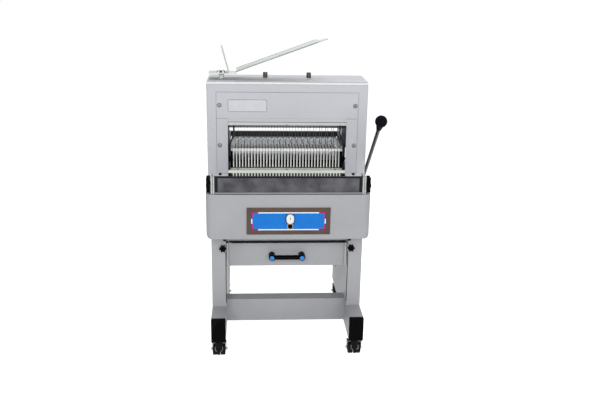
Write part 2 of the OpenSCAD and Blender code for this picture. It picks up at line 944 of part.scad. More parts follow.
// Ball grip with its conical neck
module lever_ball() {
    x0 = half_w + bush_flange_t + clearance + lever_hub_w / 2;
    grip = lever_len - ball_d / 2 - neck_len;
    color("#121214") translate([x0, shaft_back, z_shaft]) rotate([lever_lean, 0, 0]) {
        translate([0, 0, lever_len]) sphere(d = ball_d);
        translate([0, 0, grip])
            cylinder(d1 = lever_d + 2 * sheet_t, d2 = ball_d * neck_share,
                h = lever_len - grip - ball_d * sink_share);
    }
}

// Pusher plate, folded down at its rear, whose tongues and fingers pass between the blades
module pusher_comb() {
    y0 = -comb_front;
    y1 = y0 + pusher_len;
    x1 = plate_w / 2;
    color("#b5b8bb") {
        difference() {
            union() {
                span([-x1, y0, z_plate - plate_t], [x1, y1, z_plate]);
                span([-x1, y1 - plate_t, z_deck + fold_gap], [x1, y1, z_plate]);
                span([-x1, y0, z_plate - rim_h], [x1, y0 + plate_t, z_plate]);
            }
            for (i = [0 : blade_count - 1]) {
                x = blade_x(i);
                span([x - slot_w / 2, y0 - over, z_plate - rim_h - over],
                    [x + slot_w / 2, slot_backs[i % 2], z_plate + over]);
            }
        }
        for (i = [0 : fingers - 1]) {
            x = finger_x(i);
            span([x - finger_w / 2, y0, z_deck + finger_lift],
                [x + finger_w / 2, y0 + finger_d, z_plate - plate_t]);
        }
    }
}

// Side plates with forks, sliding blocks and rear beam of the pusher
module pusher_carriage() {
    y1 = pusher_len - comb_front;
    fork_half = pin_d / 2 + fork_play;
    z_low = z_shaft + arm_r * cos(half_swing) - pin_d / 2 - fork_play;
    z_slot = z_shaft + arm_r + pin_d / 2 + fork_play;
    x1 = side_in + side_t;
    color("#2b2c30") {
        span([-x1, y1 - rear_beam_d, z_plate], [x1, y1, z_plate + strap_h]);
        both() {
            difference() {
                union() {
                    span([side_in, fork_y - fork_half - fork_wall, z_low],
                        [x1, fork_y + fork_half + fork_wall, z_plate + strap_h]);
                    span([side_in, fork_y, z_plate], [x1, y1, z_plate + strap_h]);
                }
                span([side_in - over, fork_y - fork_half, z_low - over],
                    [x1 + over, fork_y + fork_half, z_slot]);
            }
            difference() {
                span([x1, fork_y - block_len / 2, z_rod - block_up],
                    [rod_x + block_w / 2, fork_y + block_len / 2, z_rod + block_up]);
                rod_y(rod_x, z_rod, fork_y - block_len, fork_y + block_len, rod_d + 2 * run_fit);
            }
        }
    }
}

// A blade frame centred on y, with the lug for its connecting rod on side s
module blade_frame(y, s) {
    b = frame_bar / 2;
    x1 = post_x + b;
    color("slategray") {
        span([-x1, y - b, z_rail], [x1, y + b, z_rail + rail_h]);
        span([-x1, y - b, z_top_rail], [x1, y + b, z_top_rail + rail_h]);
        both() span([post_x - b, y - b, z_rail], [x1, y + b, z_top_rail + rail_h]);
        mirror([s < 0 ? 1 : 0, 0, 0]) {
            span([lug_x, y - b, z_small], [lug_x + lug_t, y + b, z_rail]);
            rod_x(y, z_small, lug_x, lug_x + lug_t, frame_bar);
            rod_x(y, z_small, conrod_x, lug_x, small_pin_d);
        }
    }
}

// Every second blade, from first, centred on y
module blade_set(y, first) {
    color("gainsboro") for (i = [first : 2 : blade_count - 1]) {
        x = blade_x(i);
        span([x - blade_t / 2, y - blade_d / 2, z_rail + rail_h],
            [x + blade_t / 2, y + blade_d / 2, z_top_rail]);
    }
}

// A connecting rod on side s, tapering from the frame at y to the crank pin
module conrod(y, s) {
    pin_y = sign(y) * throw;
    color("darkgray") mirror([s < 0 ? 1 : 0, 0, 0]) difference() {
        along_x(conrod_x, conrod_x + conrod_t) hull() {
            translate([y, z_small]) circle(d = small_eye_d);
            translate([pin_y, z_crank]) circle(d = conrod_eye_d);
        }
        rod_x(y, z_small, conrod_x - over, conrod_x + conrod_t + over, small_pin_d + 2 * run_fit);
    }
}

module front_blade_frame() {
    blade_frame(-frame_gap / 2, -1);
}

module rear_blade_frame() {
    blade_frame(frame_gap / 2, 1);
}

module front_blades() {
    blade_set(-frame_gap / 2, 0);
}

module rear_blades() {
    blade_set(frame_gap / 2, 1);
}

module front_conrod() {
    conrod(-frame_gap / 2, -1);
}

module rear_conrod() {
    conrod(frame_gap / 2, 1);
}

// Open crumb drawer with its front panel
module crumb_drawer() {
    y0 = -drawer_front;
    x1 = drawer_w / 2 - drawer_lip;
    z0 = z_drawer + drawer_floor_up;
    color("silver") {
        span([-drawer_w / 2, y0, z_drawer], [drawer_w / 2, y0 + sheet_t, z_drawer + drawer_h]);
        difference() {
            span([-x1, y0 + sheet_t, z0], [x1, y0 + drawer_d, z0 + drawer_side_h]);
            span([-x1 + sheet_t, y0 + 2 * sheet_t, z0 + sheet_t],
                [x1 - sheet_t, y0 + drawer_d - sheet_t, z0 + drawer_side_h + over]);
        }
    }
}

// Bridge handle of the drawer
module drawer_handle() {
    y0 = -drawer_front;
    z = z_drawer + handle_up;
    color("#141416") {
        both() rod_y(handle_span / 2, z, y0 - handle_reach, y0, handle_foot_d);
        rod_x(y0 - handle_reach + handle_bar_d / 2, z, -handle_span / 2, handle_span / 2, handle_bar_d);
    }
}

// Six-lobed knob outline of diameter d
module star(d) {
    circle(d = d * hub_share);
    for (a = [0 : 60 : 300]) {
        rotate(a) translate([d * (1 - lobe_share) / 2, 0]) circle(d = d * lobe_share);
        rotate(a) translate([0, -d * lobe_share / 2]) square([d * (1 - lobe_share) / 2, d * lobe_share]);
    }
}

// Star knob on the front of the right leg
module leg_knob_right() {
    y1 = -leg_d / 2 - clearance;
    z = z_cab - leg_knob_drop;
    color("#141416") {
        translate([leg_knob_x, y1, z]) rotate([90, 0, 0]) linear_extrude(leg_knob_t) star(leg_knob_d);
        rod_y(leg_knob_x, z, y1, y1 + clearance + sheet_t + knob_stem_over, knob_stem_d);
    }
}

module left_leg_knob() {
    mirror([1, 0, 0]) leg_knob_right();
}

module right_leg_knob() {
    leg_knob_right();
}

// Star knob that clamps the right tray bracket
module tray_knob_right() {
    x0 = tray_w / 2 + flange_w + tray_knob_gap;
    y = -tray_y + tray_knob_back;
    z = z_deck0 + tray_h / 2;
    color("#141416") {
        translate([x0, y, z]) rotate([90, 0, 90]) linear_extrude(tray_knob_t) star(tray_knob_d);
        rod_x(y, z, x0 - tray_knob_gap - sheet_t - knob_stem_over, x0, knob_stem_d);
    }
}

module left_tray_knob() {
    mirror([1, 0, 0]) tray_knob_right();
}

module right_tray_knob() {
    tray_knob_right();
}

// Base plate of the scoop with its pivot sleeve and end stop
module scoop_base() {
    x0 = -pivot_left - base_left;
    z0 = z_roof + base_h - scoop_t;
    color("whitesmoke") difference() {
        union() {
            span([x0, -pivot_front - base_d / 2, z0],
                [x0 + base_len, -pivot_front + base_d / 2, z0 + scoop_t]);
            translate([-pivot_left, -pivot_front, z_roof + clearance])
                cylinder(d = sleeve_d, h = base_h - scoop_t - clearance);
            along_y(-pivot_front - base_d / 2, -pivot_front + base_d / 2)
                translate([x0 + base_len - stop_in, z0 + scoop_t])
                    polygon([[0, 0], [scoop_t, 0], [scoop_t - stop_lean, stop_h], [-stop_lean, stop_h]]);
        }
        translate([-pivot_left, -pivot_front, z_roof - over])
            cylinder(d = pivot_d + 2 * run_fit, h = base_h + 2 * over);
    }
}

// Sloping trough of the scoop, folded to a shallow V with a tapered tip
module scoop_trough() {
    half = trough_w / 2;
    x0 = -pivot_left - base_left + base_len + scoop_t / 2;
    color("whitesmoke") translate([x0, -pivot_front, z_roof + base_h])
        rotate([0, -trough_slope, 0]) intersection() {
            along_x(0, trough_len) polygon([
                [0, 0], [half, trough_deep], [half, trough_deep + scoop_t],
                [0, scoop_t], [-half, trough_deep + scoop_t], [-half, trough_deep]
            ]);
            translate([0, 0, -over]) linear_extrude(trough_deep + scoop_t + 2 * over) union() {
                translate([0, -half]) square([trough_len * tip_share, trough_w]);
                translate([trough_len - half / 2, 0]) circle(half / 2);
                polygon([
                    [trough_len * tip_share, -half], [trough_len - half / 2, -half / 2],
                    [trough_len - half / 2, half / 2], [trough_len * tip_share, half]
                ]);
            }
        }
}

module caster_fork_fl() { caster_fork(-1, -1); }
module caster_fork_fr() { caster_fork(1, -1); }
module caster_fork_rl() { caster_fork(-1, 1); }
module caster_fork_rr() { caster_fork(1, 1); }
module caster_wheels_fl() { caster_wheels(-1, -1); }
module caster_wheels_fr() { caster_wheels(1, -1); }
module caster_wheels_rl() { caster_wheels(-1, 1); }
module caster_wheels_rr() { caster_wheels(1, 1); }

left_floor_beam();
right_floor_beam();
beam_end_caps();
left_leg();
right_leg();
stretcher();
drawer_runners();
cabinet_shell();
control_bezel();
portal_shell();
front_cover();
rear_cover();
panel_screws();
side_ledges();
upper_guide_bar();
sill_bar();
slotted_deck();
catch_tray();
tray_brackets();
infeed_table();
guide_rods();
blade_guides();
crank_bearings();
motor_body();
drive_belt();
roof_studs();
lever_bushes();
caster_fork_fl();
caster_fork_fr();
caster_fork_rl();
caster_fork_rr();
caster_wheels_fl();
caster_wheels_fr();
caster_wheels_rl();
caster_wheels_rr();
lever_shaft();
lever_rod();
lever_ball();
pusher_comb();
pusher_carriage();
front_blade_frame();
front_blades();
rear_blade_frame();
rear_blades();
front_conrod();
rear_conrod();
crankshaft();
crank_pulley();
motor_rotor();
crumb_drawer();
drawer_handle();
left_leg_knob();
right_leg_knob();
left_tray_knob();
right_tray_knob();
switch_button();
key_barrel();
scoop_base();
scoop_trough();
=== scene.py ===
"""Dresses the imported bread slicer: finishes, rounded sheet metal, fittings and the studio."""

from __future__ import annotations

import json
import logging
import math
from collections.abc import Sequence
from dataclasses import dataclass
from enum import Enum
from typing import Any

import bmesh
import bpy
from mathutils import Matrix, Vector

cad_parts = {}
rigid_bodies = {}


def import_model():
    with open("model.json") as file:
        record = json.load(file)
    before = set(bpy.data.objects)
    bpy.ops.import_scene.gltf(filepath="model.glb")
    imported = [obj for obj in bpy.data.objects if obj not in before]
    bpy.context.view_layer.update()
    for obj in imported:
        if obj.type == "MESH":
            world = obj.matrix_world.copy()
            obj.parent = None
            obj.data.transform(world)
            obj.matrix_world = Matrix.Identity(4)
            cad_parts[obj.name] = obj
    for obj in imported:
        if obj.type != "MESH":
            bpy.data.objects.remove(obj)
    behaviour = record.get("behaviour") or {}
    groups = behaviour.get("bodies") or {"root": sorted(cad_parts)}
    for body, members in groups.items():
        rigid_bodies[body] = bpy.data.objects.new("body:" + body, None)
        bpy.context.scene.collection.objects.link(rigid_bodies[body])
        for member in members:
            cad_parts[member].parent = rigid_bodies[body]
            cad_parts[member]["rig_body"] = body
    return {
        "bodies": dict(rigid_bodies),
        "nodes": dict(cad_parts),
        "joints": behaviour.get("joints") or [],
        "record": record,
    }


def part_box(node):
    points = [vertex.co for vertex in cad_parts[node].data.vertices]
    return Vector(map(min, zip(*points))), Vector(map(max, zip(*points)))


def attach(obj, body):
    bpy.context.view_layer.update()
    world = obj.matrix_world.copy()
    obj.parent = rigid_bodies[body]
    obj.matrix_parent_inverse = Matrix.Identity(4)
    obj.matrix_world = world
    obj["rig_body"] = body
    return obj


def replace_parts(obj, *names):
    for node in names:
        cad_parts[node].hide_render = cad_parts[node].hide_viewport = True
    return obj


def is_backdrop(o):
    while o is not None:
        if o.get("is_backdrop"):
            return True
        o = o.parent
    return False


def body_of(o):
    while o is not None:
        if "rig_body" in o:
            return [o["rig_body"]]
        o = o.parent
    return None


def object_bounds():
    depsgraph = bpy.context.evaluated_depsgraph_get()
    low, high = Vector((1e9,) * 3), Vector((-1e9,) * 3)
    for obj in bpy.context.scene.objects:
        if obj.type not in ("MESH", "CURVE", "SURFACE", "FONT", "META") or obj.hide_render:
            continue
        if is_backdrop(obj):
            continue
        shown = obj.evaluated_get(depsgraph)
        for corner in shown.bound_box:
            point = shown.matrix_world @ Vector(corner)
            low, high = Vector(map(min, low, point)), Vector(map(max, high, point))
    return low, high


LOG = logging.getLogger("bread_slicer")
MM = 0.001
# Signs of the two halves of a mirrored pair
SIDES = (-1, 1)
# Corners of a CAD mesh that lie closer than this are one, in metres
MERGE = 2e-6
# Faces of a CAD mesh that turn by less than this lie in one plane
FLAT = math.radians(0.4)
# An edge that turns by more than this is rounded
SHARP = math.radians(40)
# Corner radius of a hexagon over its width across the flats
HEX = 0.577
# Width of an arm of a cross recess over the recess's width
CROSS_ARM = 0.24
# A cutter starts this far behind the face that it goes through, and is this long, in millimetres
CUT_BACK = 1.0
CUT_LONG = 6.0
# Part of a noise's range that tone patches are drawn from, and that smears and lines are
PATCH_RANGE = (0.35, 0.7)
STREAK_RANGE = (0.3, 0.7)
# No finish is smoother than this
LEAST_ROUGHNESS = 0.02
# Attribute that marks what lies under a fastener's head, and a washer's thickness in millimetres
UNDER = "lies_under"
WASHER_THICK = 0.9
# Facets across a fold and across any other edge
FOLD_STEPS = 3
RIM_STEPS = 2
# A fold lies between faces that are this many times broader than its radius
BROAD = 1.6
# An edge of a finished piece that turns by more than this stays sharp
CREASE = math.radians(35)

Point = tuple[float, float, float]
Outline = Sequence[tuple[float, float]]
Form = bmesh.types.BMesh
Tree = bpy.types.NodeTree
Socket = bpy.types.NodeSocket


def linear(code: str) -> tuple[float, float, float, float]:
    """Turn an sRGB hex colour into linear RGBA.

    Args:
        code: six hex digits, with or without a leading hash.

    Returns:
        The linear red, green, blue and an alpha of 1.
    """
    digits = code.lstrip("#")
    parts = [int(digits[i : i + 2], 16) / 255 for i in (0, 2, 4)]
    red, green, blue = (p / 12.92 if p <= 0.04045 else ((p + 0.055) / 1.055) ** 2.4 for p in parts)
    return red, green, blue, 1.0


def per_metre(size_mm: float) -> float:
    """Texture scale, in repeats per metre, of a feature of that size in millimetres."""
    return 1.0 / (size_mm * MM)


def add_node(
    tree: Tree, kind: str, links: dict[str | int, Any] | None = None, **settings: Any
) -> bpy.types.Node:
    """Add one node with its settings and inputs.

    Args:
        tree: the tree that takes the node.
        kind: the node's type name.
        links: input name or index, to a constant, to the socket that feeds it, or to the node
            whose first output does.
        settings: properties set on the node before its inputs.

    Returns:
        The new node.
    """
    node = tree.nodes.new(kind)
    for key, value in settings.items():
        setattr(node, key, value)
    for key, value in (links or {}).items():
        source = value.outputs[0] if isinstance(value, bpy.types.Node) else value
        if isinstance(source, bpy.types.NodeSocket):
            tree.links.new(source, node.inputs[key])
        else:
            node.inputs[key].default_value = source
    return node


class Lay(Enum):
    """Which way the fine lines of a rolled or brushed metal run, and how far they stretch."""

    ALONG_X = (40.0, 1.0, 1.0)
    ALONG_Z = (1.0, 1.0, 40.0)


@dataclass(frozen=True)
class Finish:
    """A coated or moulded surface: soft tone patches, fine bump and uneven gloss.

    Attributes:
        name: the material's name, for its real finish.
        colour: sRGB hex of most of the surface.
        shade: sRGB hex of its duller patches.
        roughness: middle roughness.
        metallic: share of metal flake in the coat.
        ior: index of refraction, that of most plastics and paints.
        specular: strength of the surface's own reflection, 0.5 for plain plastic.
        patch_mm: size of the tone patches.
        grain_mm: size of the bump's grains.
        grain_depth_mm: height of the bump's grains.
        gloss_spread: how far the roughness wanders.
    """

    name: str
    colour: str
    shade: str
    roughness: float
    metallic: float = 0.0
    ior: float = 1.5
    specular: float = 0.5
    patch_mm: float = 160.0
    grain_mm: float = 2.2
    grain_depth_mm: float = 0.03
    gloss_spread: float = 0.08

    def build(self) -> bpy.types.Material:
        """Make the material, or find it where it was made before.

        Returns:
            The material.
        """
        known = bpy.data.materials.get(self.name)
        if known is not None:
            return known
        material = bpy.data.materials.new(self.name)
        material.use_nodes = True
        tree = material.node_tree
        tree.nodes.clear()
        coords = add_node(tree, "ShaderNodeTexCoord").outputs["Object"]
        surface = add_node(
            tree,
            "ShaderNodeBsdfPrincipled",
            {
                "Base Color": self.tone(tree, coords),
                "Roughness": self.gloss(tree, coords),
                "Normal": self.relief(tree, coords),
                "Metallic": self.metallic,
                "IOR": self.ior,
                "Specular IOR Level": self.specular,
            },
        )
        add_node(tree, "ShaderNodeOutputMaterial", {"Surface": surface})
        return material

    def tone(self, tree: Tree, coords: Socket) -> Socket:
        """Let the colour drift between the main tone and its duller patches.

        Args:
            tree: the material's tree.
            coords: the piece's own coordinates.

        Returns:
            The colour.
        """
        cloud = add_node(
            tree,
            "ShaderNodeTexNoise",
            {"Vector": coords, "Scale": per_metre(self.patch_mm), "Detail": 5.0, "Roughness": 0.6},
        )
        low, high = PATCH_RANGE
        share = add_node(
            tree, "ShaderNodeMapRange", {"Value": cloud, "From Min": low, "From Max": high}
        )
        mix = add_node(
            tree,
            "ShaderNodeMix",
            {0: share, 6: linear(self.colour), 7: linear(self.shade)},
            data_type="RGBA",
        )
        return mix.outputs[2]

    def gloss(self, tree: Tree, coords: Socket) -> Socket:
        """Let the roughness wander as handling and dust leave it.

        Args:
            tree: the material's tree.
            coords: the piece's own coordinates.

        Returns:
            The roughness.
        """
        smear = add_node(
            tree,
            "ShaderNodeTexNoise",
            {"Vector": coords, "Scale": per_metre(self.patch_mm / 3), "Detail": 4.0},
        )
        return self.spread(tree, smear.outputs["Fac"])

    def spread(self, tree: Tree, pattern: Socket) -> Socket:
        """Let the roughness follow a pattern.

        Args:
            tree: the material's tree.
            pattern: the noise to follow.

        Returns:
            The roughness.
        """
        low, high = STREAK_RANGE
        limits = add_node(
            tree,
            "ShaderNodeMapRange",
            {
                "Value": pattern,
                "From Min": low,
                "From Max": high,
                "To Min": max(self.roughness - self.gloss_spread, LEAST_ROUGHNESS),
                "To Max": min(self.roughness + self.gloss_spread, 1.0),
            },
        )
        return limits.outputs["Result"]

    def relief(self, tree: Tree, coords: Socket) -> Socket:
        """Raise the coat's fine grain.

        Args:
            tree: the material's tree.
            coords: the piece's own coordinates.

        Returns:
            The normal.
        """
        grain = add_node(
            tree,
            "ShaderNodeTexNoise",
            {"Vector": coords, "Scale": per_metre(self.grain_mm), "Detail": 2.0},
        )
        bump = add_node(
            tree,
            "ShaderNodeBump",
            {"Height": grain, "Distance": self.grain_depth_mm * MM, "Strength": 0.6},
        )
        return bump.outputs["Normal"]


@dataclass(frozen=True)
class FlakePaint(Finish):
    """Silver paint: fine metal flakes that show as a light speckle in the coat.

    Attributes:
        flake: sRGB hex of a bright flake.
        flake_mm: flake size, drawn coarser than the real one so that it shows in the render.
        flake_share: how far the brightest flake stands out.
    """

    flake: str = "#d9dbdf"
    flake_mm: float = 0.9
    flake_share: float = 0.14

    def tone(self, tree: Tree, coords: Socket) -> Socket:
        """Scatter flakes of their own brightness over the patchy coat.

        Args:
            tree: the material's tree.
            coords: the piece's own coordinates.

        Returns:
            The colour.
        """
        scale = per_metre(self.flake_mm)
        cells = add_node(tree, "ShaderNodeTexVoronoi", {"Vector": coords, "Scale": scale})
        value = add_node(tree, "ShaderNodeSeparateColor", {"Color": cells.outputs["Color"]})
        share = add_node(
            tree,
            "ShaderNodeMapRange",
            {"Value": value, "From Min": 0.4, "From Max": 1.0, "To Max": self.flake_share},
        )
        mix = add_node(
            tree,
            "ShaderNodeMix",
            {0: share, 6: super().tone(tree, coords), 7: linear(self.flake)},
            data_type="RGBA",
        )
        return mix.outputs[2]


@dataclass(frozen=True)
class BrushedMetal(Finish):
    """Bare metal with fine lines along one direction, from rolling or a belt.

    Attributes:
        lay: the lines' direction.
        line_mm: spacing of the lines, coarser than the real grit so that it shows.
        metallic: bare metal all through.
    """

    lay: Lay = Lay.ALONG_X
    line_mm: float = 1.4
    metallic: float = 1.0

    def lines(self, tree: Tree, coords: Socket) -> Socket:
        """Stretch a noise along the lay.

        Args:
            tree: the material's tree.
            coords: the piece's own coordinates.

        Returns:
            The streaks.
        """
        scale = tuple(1.0 / stretch for stretch in self.lay.value)
        drawn = add_node(tree, "ShaderNodeMapping", {"Vector": coords, "Scale": scale})
        streak = add_node(
            tree,
            "ShaderNodeTexNoise",
            {"Vector": drawn, "Scale": per_metre(self.line_mm), "Detail": 4.0, "Roughness": 0.65},
        )
        return streak.outputs["Fac"]

    def gloss(self, tree: Tree, coords: Socket) -> Socket:
        """Roughness that follows the lines."""
        return self.spread(tree, self.lines(tree, coords))

    def relief(self, tree: Tree, coords: Socket) -> Socket:
        """Press shallow grooves along the lay.

        Args:
            tree: the material's tree.
            coords: the piece's own coordinates.

        Returns:
            The normal.
        """
        depth = self.grain_depth_mm * MM
        bump = add_node(
            tree,
            "ShaderNodeBump",
            {"Height": self.lines(tree, coords), "Distance": depth, "Strength": 0.5},
        )
        return bump.outputs["Normal"]


# Silver acrylic enamel sprayed on sheet steel: satin, a light flake and faint orange peel
SILVER_PAINT = FlakePaint(
    "silver_acrylic_enamel", "#b8babf", "#b2b4ba", 0.46, metallic=0.1, specular=0.25,
    patch_mm=260.0, grain_mm=2.4, grain_depth_mm=0.008, gloss_spread=0.04,
)
# The same enamel on the stand and the cabinet, drawn greyer and darker than on the portal
BASE_PAINT = FlakePaint(
    "grey_silver_acrylic_enamel", "#a2a3a6", "#9b9ca0", 0.48, metallic=0.1, specular=0.25,
    patch_mm=260.0, grain_mm=2.4, grain_depth_mm=0.008, gloss_spread=0.04,
)
# White enamel on small sheet parts: brighter and glossier than the silver
WHITE_PAINT = Finish(
    "white_enamel", "#c9cecc", "#bfc5c3", 0.4, specular=0.35, grain_mm=3.0, grain_depth_mm=0.01
)
# Milky polyethylene bar: waxy and slightly green
SILL_PLASTIC = Finish(
    "milky_polyethylene", "#f6fbf2", "#ecf3e8", 0.45, specular=0.35, patch_mm=60.0,
    grain_depth_mm=0.01,
)
# Stainless sheet with a mill finish: grey, lines along its length
STAINLESS = BrushedMetal(
    "mill_finish_stainless", "#8d8f90", "#7f8183", 0.38, patch_mm=90.0, grain_depth_mm=0.012
)
# Spring steel of the slicing blades: dull and oiled
BLADE_STEEL = BrushedMetal(
    "oiled_spring_steel", "#5e5f61", "#525355", 0.45, patch_mm=40.0, line_mm=0.6,
    grain_depth_mm=0.006, lay=Lay.ALONG_Z,
)
# Stainless of the catch tray: dull, with soft wiped streaks; its dark tone is a painted reflection
# of a dark room
TRAY_STEEL = BrushedMetal(
    "handled_stainless", "#57575b", "#303034", 0.42, patch_mm=85.0, line_mm=3.0,
    grain_depth_mm=0.02, gloss_spread=0.12,
)
# Near-black frame round the front of the catch tray: painted shade along its edges, where its walls
# fall into shadow
TRAY_SHADE_STEEL = BrushedMetal(
    "pressed_hem_stainless", "#232326", "#1d1d20", 0.5, patch_mm=30.0, grain_depth_mm=0.012
)
# Satin aluminium of the pusher comb: pale, fine lines along the fingers
COMB_METAL = BrushedMetal(
    "satin_aluminium", "#86898c", "#75787b", 0.45, patch_mm=60.0, line_mm=0.9, grain_depth_mm=0.006,
    lay=Lay.ALONG_Z,
)
# Anodised aluminium of the bagging scoop: pale, a little green, soft gloss
SCOOP_METAL = Finish(
    "anodised_aluminium", "#c3cac3", "#bbc2bb", 0.42, metallic=0.15, specular=0.3, patch_mm=120.0,
    grain_mm=1.6, grain_depth_mm=0.006,
)
# White nylon of the comb's slats: matt, a little cream
WHITE_NYLON = Finish(
    "white_moulded_nylon", "#fafaf7", "#f2f2ee", 0.45, specular=0.3, patch_mm=40.0, grain_mm=1.2,
    grain_depth_mm=0.01,
)
# Deck steel under the comb, drawn near black: painted shade inside the machine behind the comb
PAINTED_SHADE_DECK_STEEL = BrushedMetal(
    "deck_stainless_painted_shade", "#2a2b2d", "#212224", 0.7, patch_mm=50.0, grain_depth_mm=0.015
)
# Stainless of the tray brackets: lines up the posts
BRACKET_STEEL = BrushedMetal(
    "brushed_bracket_stainless", "#848687", "#747677", 0.36, patch_mm=40.0, grain_depth_mm=0.01,
    lay=Lay.ALONG_Z,
)
# Zinc-plated steel rods, frames and links: bright, a little blue
ZINC_STEEL = BrushedMetal(
    "bright_zinc_plate", "#b9bcbe", "#a2a6aa", 0.3, patch_mm=25.0, line_mm=0.8, grain_depth_mm=0.006
)
# Brushed steel of the hand lever: greyer than the zinc
LEVER_STEEL = BrushedMetal(
    "brushed_lever_steel", "#4d4e49", "#43443f", 0.36, patch_mm=40.0, line_mm=0.8,
    grain_depth_mm=0.008,
)
# Dark stove enamel on the pusher's side plates and the motor
DARK_PAINT = Finish("graphite_stove_enamel", "#262729", "#1e1f21", 0.5, specular=0.3, grain_mm=2.5)
# Black moulded phenolic of knobs, caps and the handle: fine matt moulding grain
BLACK_PLASTIC = Finish(
    "black_moulded_phenolic", "#040405", "#070708", 0.38, specular=0.025, patch_mm=30.0,
    grain_mm=1.0, grain_depth_mm=0.012,
)
# Polished black ball of the hand lever: deep black with a soft sheen
BALL_PLASTIC = Finish(
    "polished_black_phenolic", "#131317", "#17171b", 0.42, specular=0.005, patch_mm=20.0,
    grain_mm=3.0, grain_depth_mm=0.004, gloss_spread=0.03,
)
# Black nylon of the caster hoods
CASTER_PLASTIC = Finish(
    "black_moulded_nylon", "#0a0b0d", "#111214", 0.45, specular=0.06, patch_mm=30.0, grain_mm=0.9,
    grain_depth_mm=0.012,
)
# Dark grey rubber tyres with floor dust
CASTER_RUBBER = Finish(
    "dusty_tyre_rubber", "#161617", "#242322", 0.75, specular=0.1, patch_mm=22.0, grain_mm=0.8,
    grain_depth_mm=0.03,
)
# Black belt rubber
BELT_RUBBER = Finish(
    "belt_rubber", "#1a1a1b", "#252423", 0.8, specular=0.25, patch_mm=20.0, grain_mm=0.7
)
# Sintered bronze bushes
BRONZE = BrushedMetal(
    "sintered_bronze", "#8a6d49", "#755c3d", 0.4, patch_mm=12.0, line_mm=0.6, grain_depth_mm=0.01
)
# Brown-grey moulded frame round the control plate
BEZEL_PLASTIC = Finish(
    "taupe_moulded_abs", "#5f5047", "#564841", 0.5, specular=0.1, patch_mm=45.0, grain_mm=1.0,
    grain_depth_mm=0.02,
)
# White glossy cap of the push button
WHITE_PLASTIC = Finish("white_moulded_abs", "#e6e8e6", "#dadddb", 0.28, patch_mm=15.0, grain_mm=1.0)
# Blue printed polycarbonate film of the control plate
BLUE_FILM = Finish(
    "blue_printed_film", "#1f79d2", "#1b72c9", 0.36, specular=0.12, patch_mm=70.0, grain_mm=1.4,
    grain_depth_mm=0.003, gloss_spread=0.04,
)
# White and red ink lines of the control plate
WHITE_INK = Finish(
    "white_screen_ink", "#f2f5f5", "#e8ecec", 0.4, specular=0.2, patch_mm=20.0, grain_mm=1.0
)
RED_INK = Finish(
    "red_screen_ink", "#bc060a", "#b00509", 0.4, specular=0.08, patch_mm=20.0, grain_mm=1.0
)
# Bare plate of anodised aluminium: matt, a touch paler than the paint round it
PLATE_METAL = Finish(
    "matt_anodised_plate", "#c2c4c8", "#bbbdc1", 0.5, metallic=0.15, specular=0.3, patch_mm=40.0,
    grain_mm=0.9, grain_depth_mm=0.006,
)
# Blue push-in covers of the handle's screws
BLUE_CAP = Finish(
    "blue_moulded_cap", "#2f8be0", "#2a80d2", 0.4, specular=0.3, patch_mm=8.0, grain_mm=0.8
)
# Turned brass ring of the key switch
BRASS = BrushedMetal(
    "turned_brass", "#b5935a", "#9f7f4a", 0.3, patch_mm=8.0, line_mm=0.4, grain_depth_mm=0.006
)
# Black oxide of the cap screws
BLACK_OXIDE = BrushedMetal(
    "black_oxide_screw", "#1b1c1e", "#2a2b2d", 0.42, patch_mm=6.0, line_mm=0.5, grain_depth_mm=0.008
)
# Grey rubber of the washers, the button's bar and the tray brackets' seals, and of the lines that
# paint the shade of the cover's seams, the roof's front fold and round the bare plate
GREY_RUBBER_AND_SHADE = Finish(
    "grey_rubber_and_painted_shade_lines", "#85878c", "#7b7d82", 0.7, specular=0.2, patch_mm=10.0, grain_mm=1.0
)


class Axis(Enum):
    """Direction that a turned piece or a fastener faces."""

    RIGHT = (1.0, 0.0, 0.0)
    LEFT = (-1.0, 0.0, 0.0)
    FRONT = (0.0, -1.0, 0.0)
    BACK = (0.0, 1.0, 0.0)
    UP = (0.0, 0.0, 1.0)

    def turn(self) -> Matrix:
        """Rotation that takes +Z to this direction."""
        return Vector((0, 0, 1)).rotation_difference(Vector(self.value)).to_matrix().to_4x4()


def mm(*values: float) -> Vector:
    """A point given in millimetres, in metres."""
    return Vector(values) * MM


def box_mm(node: str) -> tuple[Vector, Vector]:
    """Lowest and highest corner of a CAD node at rest, in millimetres."""
    low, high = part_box(node)
    return low / MM, high / MM


def skin(form: Form, rings: Sequence[Sequence[bmesh.types.BMVert]], endless: bool = False) -> None:
    """Stretch faces from each ring to the next, and close both ends.

    Args:
        form: the form that holds the rings.
        rings: rings of as many corners each, or of one corner where the form comes to a point.
        endless: whether the last ring goes on to the first, with no ends to close.
    """
    steps = max(len(ring) for ring in rings)
    following = [*rings[1:], rings[0]] if endless else rings[1:]
    for low, high in zip(rings, following):
        for i in range(steps):
            k = (i + 1) % steps
            wall = (low[i % len(low)], low[k % len(low)], high[k % len(high)], high[i % len(high)])
            corners = list(dict.fromkeys(wall))
            if len(corners) > 2:
                form.faces.new(corners)
    for ring in () if endless else (rings[0], rings[-1]):
        if len(ring) > 2:
            form.faces.new(ring)
    bmesh.ops.recalc_face_normals(form, faces=form.faces)


def turned(profile: Outline, centre: Point, axis: Axis, steps: int = 40) -> Form:
    """Turn a profile round an axis.

    Args:
        profile: (radius, height) in millimetres, from foot to crown; ends may lie on the axis.
        centre: the foot of the axis, in millimetres.
        axis: which way the height runs.
        steps: facets round the axis.

    Returns:
        A closed form in place.
    """
    form = bmesh.new()
    rings: list[list[bmesh.types.BMVert]] = []
    for radius, height in profile:
        angles = [2 * math.pi * i / steps for i in range(steps)] if radius > 0 else [0.0]
        rings.append(
            [form.verts.new(mm(radius * math.cos(a), radius * math.sin(a), height)) for a in angles]
        )
    skin(form, rings)
    place = Matrix.Translation(mm(*centre)) @ axis.turn()
    bmesh.ops.transform(form, matrix=place, verts=form.verts)
    return form


